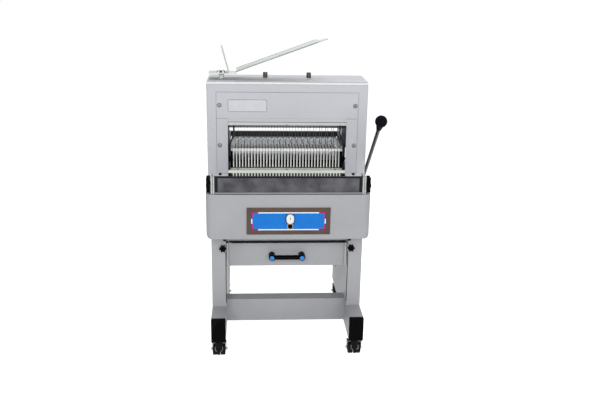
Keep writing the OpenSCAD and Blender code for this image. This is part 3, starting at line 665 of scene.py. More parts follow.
def rod(radius: float, length: float, centre: Point, axis: Axis, steps: int = 40) -> Form:
    """Plain round rod, in millimetres, from its foot's centre along an axis."""
    return turned([(0, 0), (radius, 0), (radius, length), (0, length)], centre, axis, steps)


def rounded_outline(width: float, height: float, radius: float, steps: int = 6) -> Outline:
    """Lay out a rounded rectangle about the origin.

    Args:
        width: its width.
        height: its height, in the same units.
        radius: radius of its corners.
        steps: facets of a corner.

    Returns:
        Its points, anticlockwise.
    """
    points: list[tuple[float, float]] = []
    for quarter, (sx, sy) in enumerate(((1, 1), (-1, 1), (-1, -1), (1, -1))):
        x, y = sx * (width / 2 - radius), sy * (height / 2 - radius)
        for i in range(steps + 1):
            angle = math.pi / 2 * (quarter + i / steps)
            points.append((x + radius * math.cos(angle), y + radius * math.sin(angle)))
    return points


def pad(
    outline: Outline,
    centre: Point,
    axis: Axis,
    thick: float,
    edge: float = 0.0,
    hole: Outline | None = None,
) -> Form:
    """Raise a flat outline into a plate, with a bevelled front edge.

    Args:
        outline: points in millimetres; their first value runs along X, or along Y for a piece
            that faces right or left.
        centre: middle of the plate's foot, in millimetres.
        axis: which way it faces.
        thick: its height in millimetres.
        edge: bevel of the front edge in millimetres.
        hole: an outline cut through it, with as many points as the outer one.

    Returns:
        A closed form in place.
    """
    form = bmesh.new()
    inset = 1.0 - edge / max(max(abs(u), abs(v)) for u, v in outline)
    rows = [(outline, 1.0, 0.0), (outline, 1.0, thick - edge)]
    if edge:
        rows.append((outline, inset, thick))
    if hole is not None:
        rows += [(hole, 1.0, thick), (hole, 1.0, 0.0)]
    rings = [
        [form.verts.new(mm(u * share, v * share, height)) for u, v in points]
        for points, share, height in rows
    ]
    skin(form, rings, endless=hole is not None)
    if axis in (Axis.FRONT, Axis.BACK):
        side = 1.0 if axis is Axis.FRONT else -1.0
        face = Matrix(((side, 0, 0, 0), (0, 0, -side, 0), (0, 1, 0, 0), (0, 0, 0, 1)))
    elif axis in (Axis.RIGHT, Axis.LEFT):
        side = 1.0 if axis is Axis.RIGHT else -1.0
        face = Matrix(((0, 0, side, 0), (side, 0, 0, 0), (0, 1, 0, 0), (0, 0, 0, 1)))
    else:
        face = Matrix.Identity(4)
    bmesh.ops.transform(form, matrix=Matrix.Translation(mm(*centre)) @ face, verts=form.verts)
    return form


def plate(size: Point, centre: Point, axis: Axis, thick: float, edge: float = 0.0) -> Form:
    """Plate of a width, height and corner radius in millimetres, raised as by pad."""
    return pad(rounded_outline(*size), centre, axis, thick, edge)


def swept(path: Sequence[Point], radius: float, sides: int = 16) -> Form:
    """Run a round bar through the given points.

    Args:
        path: points in millimetres.
        radius: bar radius in millimetres.
        sides: facets round the bar.

    Returns:
        A closed form in place.
    """
    form = bmesh.new()
    points = [mm(*p) for p in path]
    angles = [2 * math.pi * k / sides for k in range(sides)]
    rings: list[list[bmesh.types.BMVert]] = []
    for i, point in enumerate(points):
        ahead = (points[min(i + 1, len(points) - 1)] - points[max(i - 1, 0)]).normalized()
        across = ahead.cross(Vector((1, 0, 0)))
        if across.length < 1e-3:
            across = ahead.cross(Vector((0, 1, 0)))
        across = across.normalized() * radius * MM
        other = ahead.cross(across)
        rings.append(
            [form.verts.new(point + across * math.cos(a) + other * math.sin(a)) for a in angles]
        )
    skin(form, rings)
    return form


def joined(*forms: Form) -> Form:
    """Gather several forms into the first one.

    Args:
        forms: the forms; all but the first are freed here.

    Returns:
        The first one, with the others in it.
    """
    whole = forms[0]
    for extra in forms[1:]:
        mesh = bpy.data.meshes.new("gathered")
        extra.to_mesh(mesh)
        whole.from_mesh(mesh)
        bpy.data.meshes.remove(mesh)
        extra.free()
    return whole


def cut(form: Form, *cutters: Form) -> Form:
    """Take other forms out of a form.

    Args:
        form: what is cut; it is freed here.
        cutters: what is taken out; they are freed here.

    Returns:
        The cut form.
    """
    holders: list[bpy.types.Object] = []
    for one in (form, *cutters):
        mesh = bpy.data.meshes.new("cutting")
        one.to_mesh(mesh)
        one.free()
        holder = bpy.data.objects.new("cutting", mesh)
        bpy.context.scene.collection.objects.link(holder)
        holders.append(holder)
    for tool in holders[1:]:
        step = holders[0].modifiers.new("cut", "BOOLEAN")
        step.operation = "DIFFERENCE"
        step.solver = "EXACT"
        step.object = tool
    graph = bpy.context.evaluated_depsgraph_get()
    result = bmesh.new()
    result.from_object(holders[0], graph)
    for holder in holders:
        bpy.data.objects.remove(holder)
    return result


def merged(piece: bpy.types.Object) -> Form:
    """Copy a CAD node's loose triangles into a form with whole flat faces.

    Args:
        piece: the CAD node.

    Returns:
        The copy, with its doubles merged.
    """
    form = bmesh.new()
    form.from_mesh(piece.data)
    bmesh.ops.remove_doubles(form, verts=form.verts, dist=MERGE)
    bmesh.ops.dissolve_limit(form, angle_limit=FLAT, verts=form.verts, edges=form.edges)
    form.normal_update()
    return form


@dataclass(frozen=True)
class Repeat:
    """A small shape that a Geometry Nodes tree puts on a set of points."""

    def title(self) -> str:
        """Name of the tree that makes this kind of shape."""
        raise NotImplementedError

    def sizes(self) -> dict[str, float]:
        """The tree's number inputs, by name: lengths in metres, and shares."""
        raise NotImplementedError

    def shape(self, tree: Tree, given: Any) -> Socket:
        """Add the nodes of one shape.

        Args:
            tree: the tree that takes them.
            given: the tree's inputs, by name.

        Returns:
            The shape, with its foot at the origin and facing up.
        """
        raise NotImplementedError

    def under(self, finish: Finish) -> Finish:
        """Finish of what lies under the shape, such as a washer, where it has its own."""
        return finish

    def tree(self) -> Tree:
        """Make the tree of this kind of shape, or find it where it was made before.

        Returns:
            A tree with named inputs for the points, sizes, direction and finishes.
        """
        title = self.title()
        if title in bpy.data.node_groups:
            return bpy.data.node_groups[title]
        tree = bpy.data.node_groups.new(title, "GeometryNodeTree")
        inputs = {"Points": "Geometry", **{label: "Float" for label in self.sizes()}}
        inputs |= {"Direction": "Vector", "Finish": "Material", "Under Finish": "Material"}
        for label, kind in inputs.items():
            tree.interface.new_socket(label, in_out="INPUT", socket_type=f"NodeSocket{kind}")
        tree.interface.new_socket("Pieces", in_out="OUTPUT", socket_type="NodeSocketGeometry")
        given = add_node(tree, "NodeGroupInput").outputs
        facing = add_node(
            tree, "FunctionNodeAlignRotationToVector", {"Vector": given["Direction"]}, axis="Z"
        )
        pieces = add_node(
            tree,
            "GeometryNodeInstanceOnPoints",
            {"Points": given["Points"], "Instance": self.shape(tree, given), "Rotation": facing},
        )
        real = add_node(tree, "GeometryNodeRealizeInstances", {"Geometry": pieces})
        coat = add_node(
            tree, "GeometryNodeSetMaterial", {"Geometry": real, "Material": given["Finish"]}
        )
        lies_under = add_node(
            tree, "GeometryNodeInputNamedAttribute", {"Name": UNDER}, data_type="BOOLEAN"
        )
        both = add_node(
            tree,
            "GeometryNodeSetMaterial",
            {"Geometry": coat, "Selection": lies_under, "Material": given["Under Finish"]},
        )
        add_node(tree, "NodeGroupOutput", {"Pieces": both})
        return tree

    def place(
        self, name: str, points: Sequence[Point], axis: Axis, finish: Finish
    ) -> bpy.types.Object:
        """Make the shapes on these points as one plain mesh.

        Args:
            name: the piece's name.
            points: feet of the shapes, in millimetres.
            axis: which way they face.
            finish: their finish.

        Returns:
            The new object, at the origin, with no modifier left.
        """
        values: dict[str, Any] = {
            **self.sizes(),
            "Direction": axis.value,
            "Finish": finish.build(),
            "Under Finish": self.under(finish).build(),
        }
        feet = bpy.data.meshes.new(f"{name}_feet")
        feet.from_pydata([mm(*p) for p in points], [], [])
        holder = bpy.data.objects.new(f"{name}_feet", feet)
        bpy.context.scene.collection.objects.link(holder)
        modifier = holder.modifiers.new("grow", "NODES")
        modifier.node_group = self.tree()
        for item in modifier.node_group.interface.items_tree:
            if item.item_type == "SOCKET" and item.in_out == "INPUT" and item.name in values:
                modifier[item.identifier] = values[item.name]
        graph = bpy.context.evaluated_depsgraph_get()
        mesh = bpy.data.meshes.new_from_object(holder.evaluated_get(graph), depsgraph=graph)
        mesh.name = name
        holder.modifiers.remove(modifier)
        bpy.data.objects.remove(holder)
        piece = bpy.data.objects.new(name, mesh)
        bpy.context.scene.collection.objects.link(piece)
        return piece


@dataclass(frozen=True)
class HexNut(Repeat):
    """A nut with its washer and the end of its stud, in millimetres.

    Attributes:
        across: width across the flats.
        height: nut height.
        washer: washer diameter.
        stud: stud diameter.
    """

    across: float
    height: float
    washer: float
    stud: float

    def title(self) -> str:
        """Name of the nuts' tree."""
        return "hex_nuts"

    def sizes(self) -> dict[str, float]:
        """List the tree's number inputs.

        Returns:
            Lengths in metres, by input name.
        """
        return {
            "Across Flats": self.across * MM,
            "Nut Height": self.height * MM,
            "Washer Diameter": self.washer * MM,
            "Stud Diameter": self.stud * MM,
        }

    def shape(self, tree: Tree, given: Any) -> Socket:
        """Stack nut, washer and stud, each a prism in shares of the nut's sizes.

        Args:
            tree: the tree that takes the nodes.
            given: the tree's inputs, by name.

        Returns:
            The nut.
        """
        joint = add_node(tree, "GeometryNodeJoinGeometry")
        for size, ratio, sides, tall, rise in (
            ("Across Flats", HEX, 6, 1.0, 0.62),
            ("Washer Diameter", 0.5, 28, 0.2, 0.08),
            ("Stud Diameter", 0.5, 18, 1.5, 0.75),
        ):
            radius, depth, lift = (
                add_node(tree, "ShaderNodeMath", {0: given[base], 1: share}, operation="MULTIPLY")
                for base, share in ((size, ratio), ("Nut Height", tall), ("Nut Height", rise))
            )
            body = add_node(
                tree,
                "GeometryNodeMeshCylinder",
                {"Vertices": sides, "Radius": radius, "Depth": depth},
            )
            up = add_node(tree, "ShaderNodeCombineXYZ", {"Z": lift})
            lifted = add_node(tree, "GeometryNodeTransform", {"Geometry": body, "Translation": up})
            tree.links.new(lifted.outputs[0], joint.inputs[0])
        return joint.outputs[0]


@dataclass(frozen=True)
class RoundedBar(Repeat):
    """A short bar with rounded edges, such as a slat of the comb, in millimetres.

    Attributes:
        width: width of the profile along X.
        depth: depth of the profile along Y.
        length: bar length.
        fillet: edge radius.
    """

    width: float
    depth: float
    length: float
    fillet: float

    def title(self) -> str:
        """Name of the bars' tree."""
        return "rounded_bars"

    def sizes(self) -> dict[str, float]:
        """List the tree's number inputs.

        Returns:
            Lengths in metres, by input name.
        """
        return {
            "Width": self.width * MM,
            "Depth": self.depth * MM,
            "Length": self.length * MM,
            "Fillet": self.fillet * MM,
        }

    def shape(self, tree: Tree, given: Any) -> Socket:
        """Sweep a rounded rectangle up a straight line.

        Args:
            tree: the tree that takes the nodes.
            given: the tree's inputs, by name.

        Returns:
            The bar.
        """
        outline = add_node(
            tree,
            "GeometryNodeCurvePrimitiveQuadrilateral",
            {"Width": given["Width"], "Height": given["Depth"]},
        )
        soft = add_node(
            tree,
            "GeometryNodeFilletCurve",
            {"Curve": outline, "Radius": given["Fillet"], "Count": 3},
            mode="POLY",
        )
        top = add_node(tree, "ShaderNodeCombineXYZ", {"Z": given["Length"]})
        spine = add_node(tree, "GeometryNodeCurvePrimitiveLine", {"End": top})
        bar = add_node(
            tree,
            "GeometryNodeCurveToMesh",
            {"Curve": spine, "Profile Curve": soft, "Fill Caps": True},
        )
        return bar.outputs[0]


class Recess(Enum):
    """What a driver fits into on a fastener's head."""

    CROSS = "cross"
    HEX = "hex"


@dataclass(frozen=True)
class Fastener(Repeat):
    """A turned screw head on a washer, in millimetres.

    Attributes:
        diameter: head diameter.
        height: head height.
        recess: the driver recess.
        recess_width: its width across.
        recess_depth: its depth.
        crown: share of the radius that the top edge loses.
        washer: diameter of the dark washer under the head, or 0 for none.
    """

    diameter: float
    height: float
    recess: Recess
    recess_width: float
    recess_depth: float
    crown: float = 0.4
    washer: float = 0.0

    def title(self) -> str:
        """Name of the tree of heads with this recess."""
        return f"{self.recess.value}_head_fasteners"

    def sizes(self) -> dict[str, float]:
        """List the tree's number inputs; without a washer, its disc hides in the head.

        Returns:
            Lengths in metres and the crown's share, by input name.
        """
        return {
            "Head Diameter": self.diameter * MM,
            "Head Height": self.height * MM,
            "Recess Width": self.recess_width * MM,
            "Recess Depth": self.recess_depth * MM,
            "Crown": self.crown,
            "Washer Diameter": max(self.washer, 0.6 * self.diameter) * MM,
        }

    def under(self, finish: Finish) -> Finish:
        """Finish of the washer."""
        return GREY_RUBBER_AND_SHADE if self.washer else finish

    def shape(self, tree: Tree, given: Any) -> Socket:
        """Turn the head, cut its recess, and lay the washer under it.

        Args:
            tree: the tree that takes the nodes.
            given: the tree's inputs, by name.

        Returns:
            The head with its washer, which is marked as lying under.
        """
        top = add_node(tree, "ShaderNodeCombineXYZ", {"Z": given["Head Height"]})
        line = add_node(tree, "GeometryNodeCurvePrimitiveLine", {"End": top})
        spine = add_node(tree, "GeometryNodeResampleCurve", {"Curve": line, "Count": 8})
        along = add_node(tree, "GeometryNodeSplineParameter").outputs["Factor"]
        rise = add_node(tree, "ShaderNodeMath", {0: along, 1: 3.0}, operation="POWER")
        lost = add_node(
            tree, "ShaderNodeMath", {0: rise, 1: given["Crown"]}, operation="MULTIPLY"
        )
        kept = add_node(tree, "ShaderNodeMath", {0: 1.0, 1: lost}, operation="SUBTRACT")
        half, disc_r = (
            add_node(tree, "ShaderNodeMath", {0: given[size], 1: 0.5}, operation="MULTIPLY")
            for size in ("Head Diameter", "Washer Diameter")
        )
        radius = add_node(tree, "ShaderNodeMath", {0: half, 1: kept}, operation="MULTIPLY")
        ring = add_node(
            tree, "GeometryNodeCurvePrimitiveCircle", {"Resolution": 24, "Radius": 1.0}
        )
        head = add_node(
            tree,
            "GeometryNodeCurveToMesh",
            {"Curve": spine, "Profile Curve": ring, "Scale": radius, "Fill Caps": True},
        )
        tool = add_node(
            tree,
            "GeometryNodeTransform",
            {"Geometry": self.cutter(tree, given), "Translation": top},
        )
        bored = add_node(
            tree, "GeometryNodeMeshBoolean", {0: head, 1: tool}, operation="DIFFERENCE"
        )
        disc = add_node(
            tree,
            "GeometryNodeMeshCylinder",
            {"Vertices": 28, "Radius": disc_r, "Depth": WASHER_THICK * MM},
        )
        marked = add_node(
            tree,
            "GeometryNodeStoreNamedAttribute",
            {"Geometry": disc, "Name": UNDER, "Value": True},
            data_type="BOOLEAN",
            domain="FACE",
        )
        whole = add_node(tree, "GeometryNodeJoinGeometry", {0: marked})
        tree.links.new(bored.outputs[0], whole.inputs[0])
        return whole.outputs[0]

    def cutter(self, tree: Tree, given: Any) -> Socket:
        """Shape the driver recess, twice its depth and centred on the origin.

        Args:
            tree: the tree that takes the nodes.
            given: the tree's inputs, by name.

        Returns:
            What is cut out of the head.
        """
        across = given["Recess Width"]
        share = HEX if self.recess is Recess.HEX else CROSS_ARM
        slim, deep = (
            add_node(tree, "ShaderNodeMath", {0: size, 1: ratio}, operation="MULTIPLY")
            for size, ratio in ((across, share), (given["Recess Depth"], 2.0))
        )
        if self.recess is Recess.HEX:
            prism = add_node(
                tree, "GeometryNodeMeshCylinder", {"Vertices": 6, "Radius": slim, "Depth": deep}
            )
            return prism.outputs["Mesh"]
        cross = add_node(tree, "GeometryNodeMeshBoolean", operation="UNION")
        for x, y in ((across, slim), (slim, across)):
            size = add_node(tree, "ShaderNodeCombineXYZ", {"X": x, "Y": y, "Z": deep})
            bar = add_node(tree, "GeometryNodeMeshCube", {"Size": size})
            tree.links.new(bar.outputs["Mesh"], cross.inputs[1])
        return cross.outputs[0]


class Shop:
    """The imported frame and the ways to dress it.

    Attributes:
        cad_box: the CAD model's box, taken straight after loading.
        slots: the record's material slot of each CAD node.
    """

    def __init__(self) -> None:
        """Load the frame and keep the CAD box."""
        self.frame: dict[str, Any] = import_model()
        self.cad_box: tuple[Vector, Vector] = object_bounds()
        self.slots: dict[str, str] = {
            part["node"]: part["material_slot"] for part in self.frame["record"]["subparts"]
        }

    def body(self, node: str) -> str:
        """Name of the body that carries a CAD node."""
        return body_of(self.frame["nodes"][node])[0]

    def paint(self, finish: Finish, *nodes: str) -> None:
        """Give CAD nodes a finish and leave their shape alone.

        Args:
            finish: the finish.
            nodes: names of CAD nodes.
        """
        for node in nodes:
            piece = self.frame["nodes"][node]
            if not piece.material_slots:
                piece.data.materials.append(None)
            for holder in piece.material_slots:
                holder.link = "OBJECT"
                holder.material = finish.build()
            LOG.info("%s: %s", node, finish.name)

    def soften(self, finish: Finish, *nodes: str, fold: float = 0.0, rim: float = 0.4) -> None:
        """Stand a copy with rounded edges in for each CAD node.

        Args:
            finish: the copy's finish.
            nodes: names of CAD nodes.
            fold: radius of the outer folds, in millimetres.
            rim: radius of every other sharp edge, in millimetres.
        """
        for node in nodes:
            form = merged(self.frame["nodes"][node])
            if fold:
                self.bevel(form, fold, FOLD_STEPS, least=BROAD * fold)
            if rim:
                self.bevel(form, rim, RIM_STEPS, least=0.0)
            piece = self.fit(f"{node}_dressed", form, self.body(node), finish, self.slots[node])
            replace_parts(piece, node)

    @staticmethod
    def bevel(form: Form, radius: float, steps: int, least: float) -> None:
        """Round the sharp edges; with a least breadth, only outer ones between broad faces.

        Args:
            form: the form to change.
            radius: edge radius in millimetres.
            steps: facets across the edge.
            least: least breadth of both faces, in millimetres.
        """

        def breadth(face: bmesh.types.BMFace) -> float:
            """Rough width of a face in millimetres."""
            return 2 * face.calc_area() / max(sum(e.calc_length() for e in face.edges), 1e-9) / MM

        edges = [
            edge
            for edge in form.edges
            if edge.is_manifold
            and edge.calc_face_angle(0.0) > SHARP
            and (least == 0 or edge.is_convex)
            and all(breadth(face) >= least for face in edge.link_faces)
        ]
        if edges:
            bmesh.ops.bevel(
                form,
                geom=edges,
                offset=radius * MM,
                offset_type="OFFSET",
                segments=steps,
                profile=0.5,
                affect="EDGES",
                clamp_overlap=True,
            )

    def fit(self, name: str, form: Form, body: str, finish: Finish, slot: str) -> bpy.types.Object:
        """Turn a form into a piece that rides on a body.

        Args:
            name: the piece's name.
            form: its shape in place; it is freed here.
            body: the body it moves with.
            finish: its finish.
            slot: the record's material slot it takes after.

        Returns:
            The piece.
        """
        mesh = bpy.data.meshes.new(name)
        form.to_mesh(mesh)
        form.free()
        mesh.shade_smooth()
        mesh.set_sharp_from_angle(angle=CREASE)
        mesh.materials.clear()
        mesh.materials.append(finish.build())
        for polygon in mesh.polygons:
            polygon.material_index = 0
        piece = bpy.data.objects.new(name, mesh)
        bpy.context.scene.collection.objects.link(piece)
        flat = piece.modifiers.new("flat_shading", "WEIGHTED_NORMAL")
        flat.keep_sharp = True
        return self.seat(piece, body, slot)

    @staticmethod
    def seat(piece: bpy.types.Object, body: str, slot: str) -> bpy.types.Object:
        """Let a finished piece ride on its body.

        Args:
            piece: the piece.
            body: the body it moves with.
            slot: the record's material slot; not used.

        Returns:
            The piece.
        """
        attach(piece, body)
        LOG.info("%s rides on %s", piece.name, body)
        return piece


@dataclass
class Stand:
    """Floor beams, legs, stretcher, casters and leg fittings, in millimetres.

    Attributes:
        fold: fold radius of the sheet tubes.
        rim: radius of their other edges.
        buffer: (X, Z) of the right leg's small rubber buffer.
        buffer_shape: turned profile of a buffer.
        wheel_in: distance of a wheel's inner face from its caster's middle.
        nub: how far the axle's end stands out of a wheel.
        axle_r: radius of the axle.
        tyre_round: edge radius of a wheel.
        tyre_turns: angles of the facets of that edge.
        hub_share: hub radius as a share of the wheel's.
        dish: depth of the ring round the hub's cap.
        cap_shares: radii of that ring's foot, of the cap's edge and of its top, in hub radii.
        grooves: tread grooves on each wheel.
        groove: half width of a groove at the tread and at its foot, and its depth.
        yoke_gap: gap between a wheel and the yoke.
        yoke_rise: how far a caster's yoke stands over the wheels.
        yoke_thick: thickness of its sheet.
        cheek_top: half width of a cheek at the bridge.
        cheek: (Y, Z) of its front edge, from the axle.
        bridge: depth and corner radius of the yoke's bridge.
        claw: (X, Z) of the springs on a hood's front, from the axle's height.
        claw_r: radius of their wire.
        pedal: width, height and thickness of the toe pedal between the wheels.
        pedal_in: how far it keeps behind the hood's front.
        pedal_lift: its height over the floor.
        axle_nut: the nuts on the axle's ends.
        drawer_gap: gap between the drawer and the dark strip over it.
        trim_in: how far the dark strip lies behind the drawer's front.
        shade_strip: height of the dark rubber strip over the drawer, painted shade of the gap under
            the cabinet.
        lintel: height of the sheet strip over the dark strip.
        strip_r: radius of the dark lines on the legs' inner edges, painted shade of the gap there.
        strip_ends: how far they keep from the stretcher's and from the drawer's top.
        runner_gap: play beside a runner's white end plate, painted light beside the drawer.
        runner_in: how far the end plates lie behind the drawer's front.
    """

    fold: float = 3.0
    rim: float = 0.6
    buffer: tuple[float, float] = (243.0, 455.0)
    buffer_shape: Outline = ((0, 0), (6.5, 0), (6.5, 5.0), (5.5, 6.6), (3.5, 7.4), (0, 7.6))
    wheel_in: float = 6.0
    nub: float = 2.0
    axle_r: float = 4.0
    tyre_round: float = 3.2
    tyre_turns: tuple[float, ...] = (0.0, 0.4, 0.8, 1.2, math.pi / 2)
    hub_share: float = 0.52
    dish: float = 2.0
    cap_shares: Point = (0.55, 0.5, 0.42)
    grooves: int = 2
    groove: Point = (1.2, 0.8, 0.8)
    yoke_gap: float = 0.6
    yoke_rise: float = 6.0
    yoke_thick: float = 1.6
    cheek_top: float = 13.0
    cheek: Outline = ((-9.0, 6.0), (-7.5, -4.0), (-4.0, -7.5), (0.0, -8.5))
    bridge: tuple[float, float] = (26.0, 2.0)
    claw: Outline = ((8.0, 27.0), (13.0, 22.0), (14.5, 12.0), (13.0, 5.0), (7.0, 3.0))
    claw_r: float = 0.9
    pedal: Point = (10.6, 24.0, 5.0)
    pedal_in: float = 4.0
    pedal_lift: float = 9.0
    axle_nut: HexNut = HexNut(9.0, 4.0, 11.0, 5.0)
    drawer_gap: float = 2.5
    trim_in: float = 4.0
    shade_strip: float = 8.5
    lintel: float = 16.0
    strip_r: float = 1.3
    strip_ends: tuple[float, float] = (18.0, 22.0)
    runner_gap: float = 1.2
    runner_in: float = 3.0

    def dress(self, shop: Shop) -> None:
        """Build and fit every piece of the stand.

        Args:
            shop: the frame to dress.
        """
        tubes = ("left_floor_beam", "right_floor_beam", "left_leg", "right_leg", "stretcher")
        shop.soften(BASE_PAINT, *tubes, fold=self.fold, rim=self.rim)
        shop.soften(BLACK_PLASTIC, "beam_end_caps", fold=2.0, rim=0.5)
        shop.soften(BLACK_PLASTIC, "left_leg_knob", "right_leg_knob", rim=1.5)
        shop.paint(ZINC_STEEL, "drawer_runners")
        for corner in ("fl", "fr", "rl", "rr"):
            shop.soften(CASTER_PLASTIC, f"caster_fork_{corner}", rim=1.2)
            self.wheels(shop, corner)
            self.bracket(shop, corner)
        self.buffers(shop)
        self.trim(shop)

    def wheels(self, shop: Shop, corner: str) -> None:
        """Turn the wheel pair of one caster, with tyre, tread and hub.

        Args:
            shop: the frame to dress.
            corner: which caster.
        """
        node = f"caster_wheels_{corner}"
        low, high = box_mm(node)
        radius = (high.z - low.z) / 2
        x, y, z = (low + high) / 2
        width = (high.x - low.x) / 2 - self.nub - self.wheel_in
        hub = radius * self.hub_share
        e = self.tyre_round
        arc = [(radius - e + e * math.sin(a), e - e * math.cos(a)) for a in self.tyre_turns]
        tread: list[tuple[float, float]] = [(0.0, 0.0), (hub, 0.0), *arc]
        top, foot, deep = self.groove
        for i in range(self.grooves):
            at = width * (i + 1) / (self.grooves + 1)
            tread += [(radius, at - top), (radius - deep, at - foot)]
            tread += [(radius - deep, at + foot), (radius, at + top)]
        tread += [(r, width - h) for r, h in reversed(arc)]
        ring, edge, crown = (hub * share for share in self.cap_shares)
        tread += [(hub + 1.5, width), (hub, width - self.dish), (ring, width - self.dish)]
        tread += [(edge, width), (crown, width + self.nub * 0.8), (0.0, width + self.nub)]
        pair = [
            turned(tread, (x + self.wheel_in, y, z), Axis.RIGHT, 48),
            turned(tread, (x - self.wheel_in, y, z), Axis.LEFT, 48),
            rod(self.axle_r, 2 * self.wheel_in, (x - self.wheel_in, y, z), Axis.RIGHT, 24),
        ]
        body = shop.body(node)
        piece = shop.fit(f"{node}_dressed", joined(*pair), body, CASTER_RUBBER, "caster_rubber")
        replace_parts(piece, node)

    def trim(self, shop: Shop) -> None:
        """Fit the dark strip over the drawer, painted shade of the gap under the cabinet, and the
        lintel; the legs' dark edge lines, painted shade of their inner edges; and the runners'
        white end plates, painted light beside the drawer.

        Args:
            shop: the frame to dress.
        """
        low, high = box_mm("crumb_drawer")
        leg = box_mm("right_leg")[0]
        foot = box_mm("stretcher")[1].z
        y, z = low.y + self.trim_in, high.z + self.drawer_gap
        # The dark rubber strip over the drawer is painted shade of the gap under the cabinet
        size = (2 * high.x - 2.0, self.shade_strip, 1.5)
        shade_strip = plate(size, (0.0, y, z + self.shade_strip / 2), Axis.FRONT, 4.0, 0.8)
        shop.fit("drawer_gap_shade_strip", shade_strip, "machine", CASTER_RUBBER, "caster_rubber")
        size = (2 * leg.x - 0.4, self.lintel, 0.5)
        board = plate(size, (0.0, y, z + self.shade_strip + self.lintel / 2), Axis.FRONT, 3.0, 0.3)
        shop.fit("drawer_lintel", board, "machine", BASE_PAINT, "silver_paint")
        # Dark rubber lines up the legs' inner edges: painted shade of the gap between the legs'
        # front and their inner flanges
        ends = (foot + self.strip_ends[0], high.z - self.strip_ends[1])
        strips = [swept([(s * leg.x, leg.y, z) for z in ends], self.strip_r, 10) for s in SIDES]
        shop.fit("leg_edge_shade_lines", joined(*strips), "machine", CASTER_RUBBER, "caster_rubber")
        # White end plates beside the drawer: painted light in the shaded gap between the drawer and
        # the legs
        size = (leg.x - high.x - 2 * self.runner_gap, high.z - low.z, 1.0)
        x, y, z = (leg.x + high.x) / 2, low.y + self.runner_in, (low.z + high.z) / 2
        plates = [plate(size, (s * x, y, z), Axis.FRONT, 1.5, 0.3) for s in SIDES]
        shop.fit("runner_light_plates", joined(*plates), "machine", WHITE_PAINT, "white_paint")

    def bracket(self, shop: Shop, corner: str) -> None:
        """Fit the steel yoke over one caster's hood, its springs, toe pedal and axle nuts.

        Args:
            shop: the frame to dress.
            corner: which caster.
        """
        fork = f"caster_fork_{corner}"
        low, high = box_mm(f"caster_wheels_{corner}")
        x, y, z = (low + high) / 2
        reach = (high.x - low.x) / 2 + self.yoke_gap
        crown = high.z + self.yoke_rise
        front = [(-self.cheek_top, crown - z), *self.cheek]
        outline = front + [(-v, w) for v, w in reversed(front[:-1])]
        parts = [
            pad(outline, (x + axis.value[0] * reach, y, z), axis, self.yoke_thick)
            for axis in (Axis.RIGHT, Axis.LEFT)
        ]
        size = (2 * (reach + self.yoke_thick), *self.bridge)
        at = (x, y, crown - self.yoke_thick)
        parts.append(plate(size, at, Axis.UP, self.yoke_thick, 0.4))
        fork_low, fork_high = box_mm(fork)
        hood = (fork_high.y - fork_low.y) / 2
        facing, axis = (1.0, Axis.FRONT) if corner.startswith("f") else (-1.0, Axis.BACK)
        for side in SIDES:
            path = [
                (x + side * u, y - facing * math.sqrt(max(hood**2 - w**2, 0.0)), z + w)
                for u, w in self.claw
            ]
            parts.append(swept(path, self.claw_r, 10))
        body = shop.body(fork)
        shop.fit(f"caster_yoke_{corner}", joined(*parts), body, BRACKET_STEEL, "zinc_steel")
        wide, tall, thick = self.pedal
        at = (x, y - facing * (hood - thick - self.pedal_in), tall / 2 + self.pedal_lift)
        toe = plate((wide, tall, 3.0), at, axis, thick, 1.0)
        shop.fit(f"caster_pedal_{corner}", toe, body, CASTER_PLASTIC, "caster_steel")
        for side, axis in (("right", Axis.RIGHT), ("left", Axis.LEFT)):
            foot = (x + axis.value[0] * (reach + self.yoke_thick), y, z)
            nut = self.axle_nut.place(f"caster_nut_{corner}_{side}", [foot], axis, ZINC_STEEL)
            shop.seat(nut, body, "zinc_steel")

    def buffers(self, shop: Shop) -> None:
        """Fit the small rubber buffers on the leg fronts, over the star knobs.

        Args:
            shop: the frame to dress.
        """
        x, z = self.buffer
        face = box_mm("left_leg")[0].y
        pair = [turned(self.buffer_shape, (s * x, face, z), Axis.FRONT, 28) for s in SIDES]
        shop.fit("leg_buffers", joined(*pair), "machine", CASTER_RUBBER, "caster_rubber")


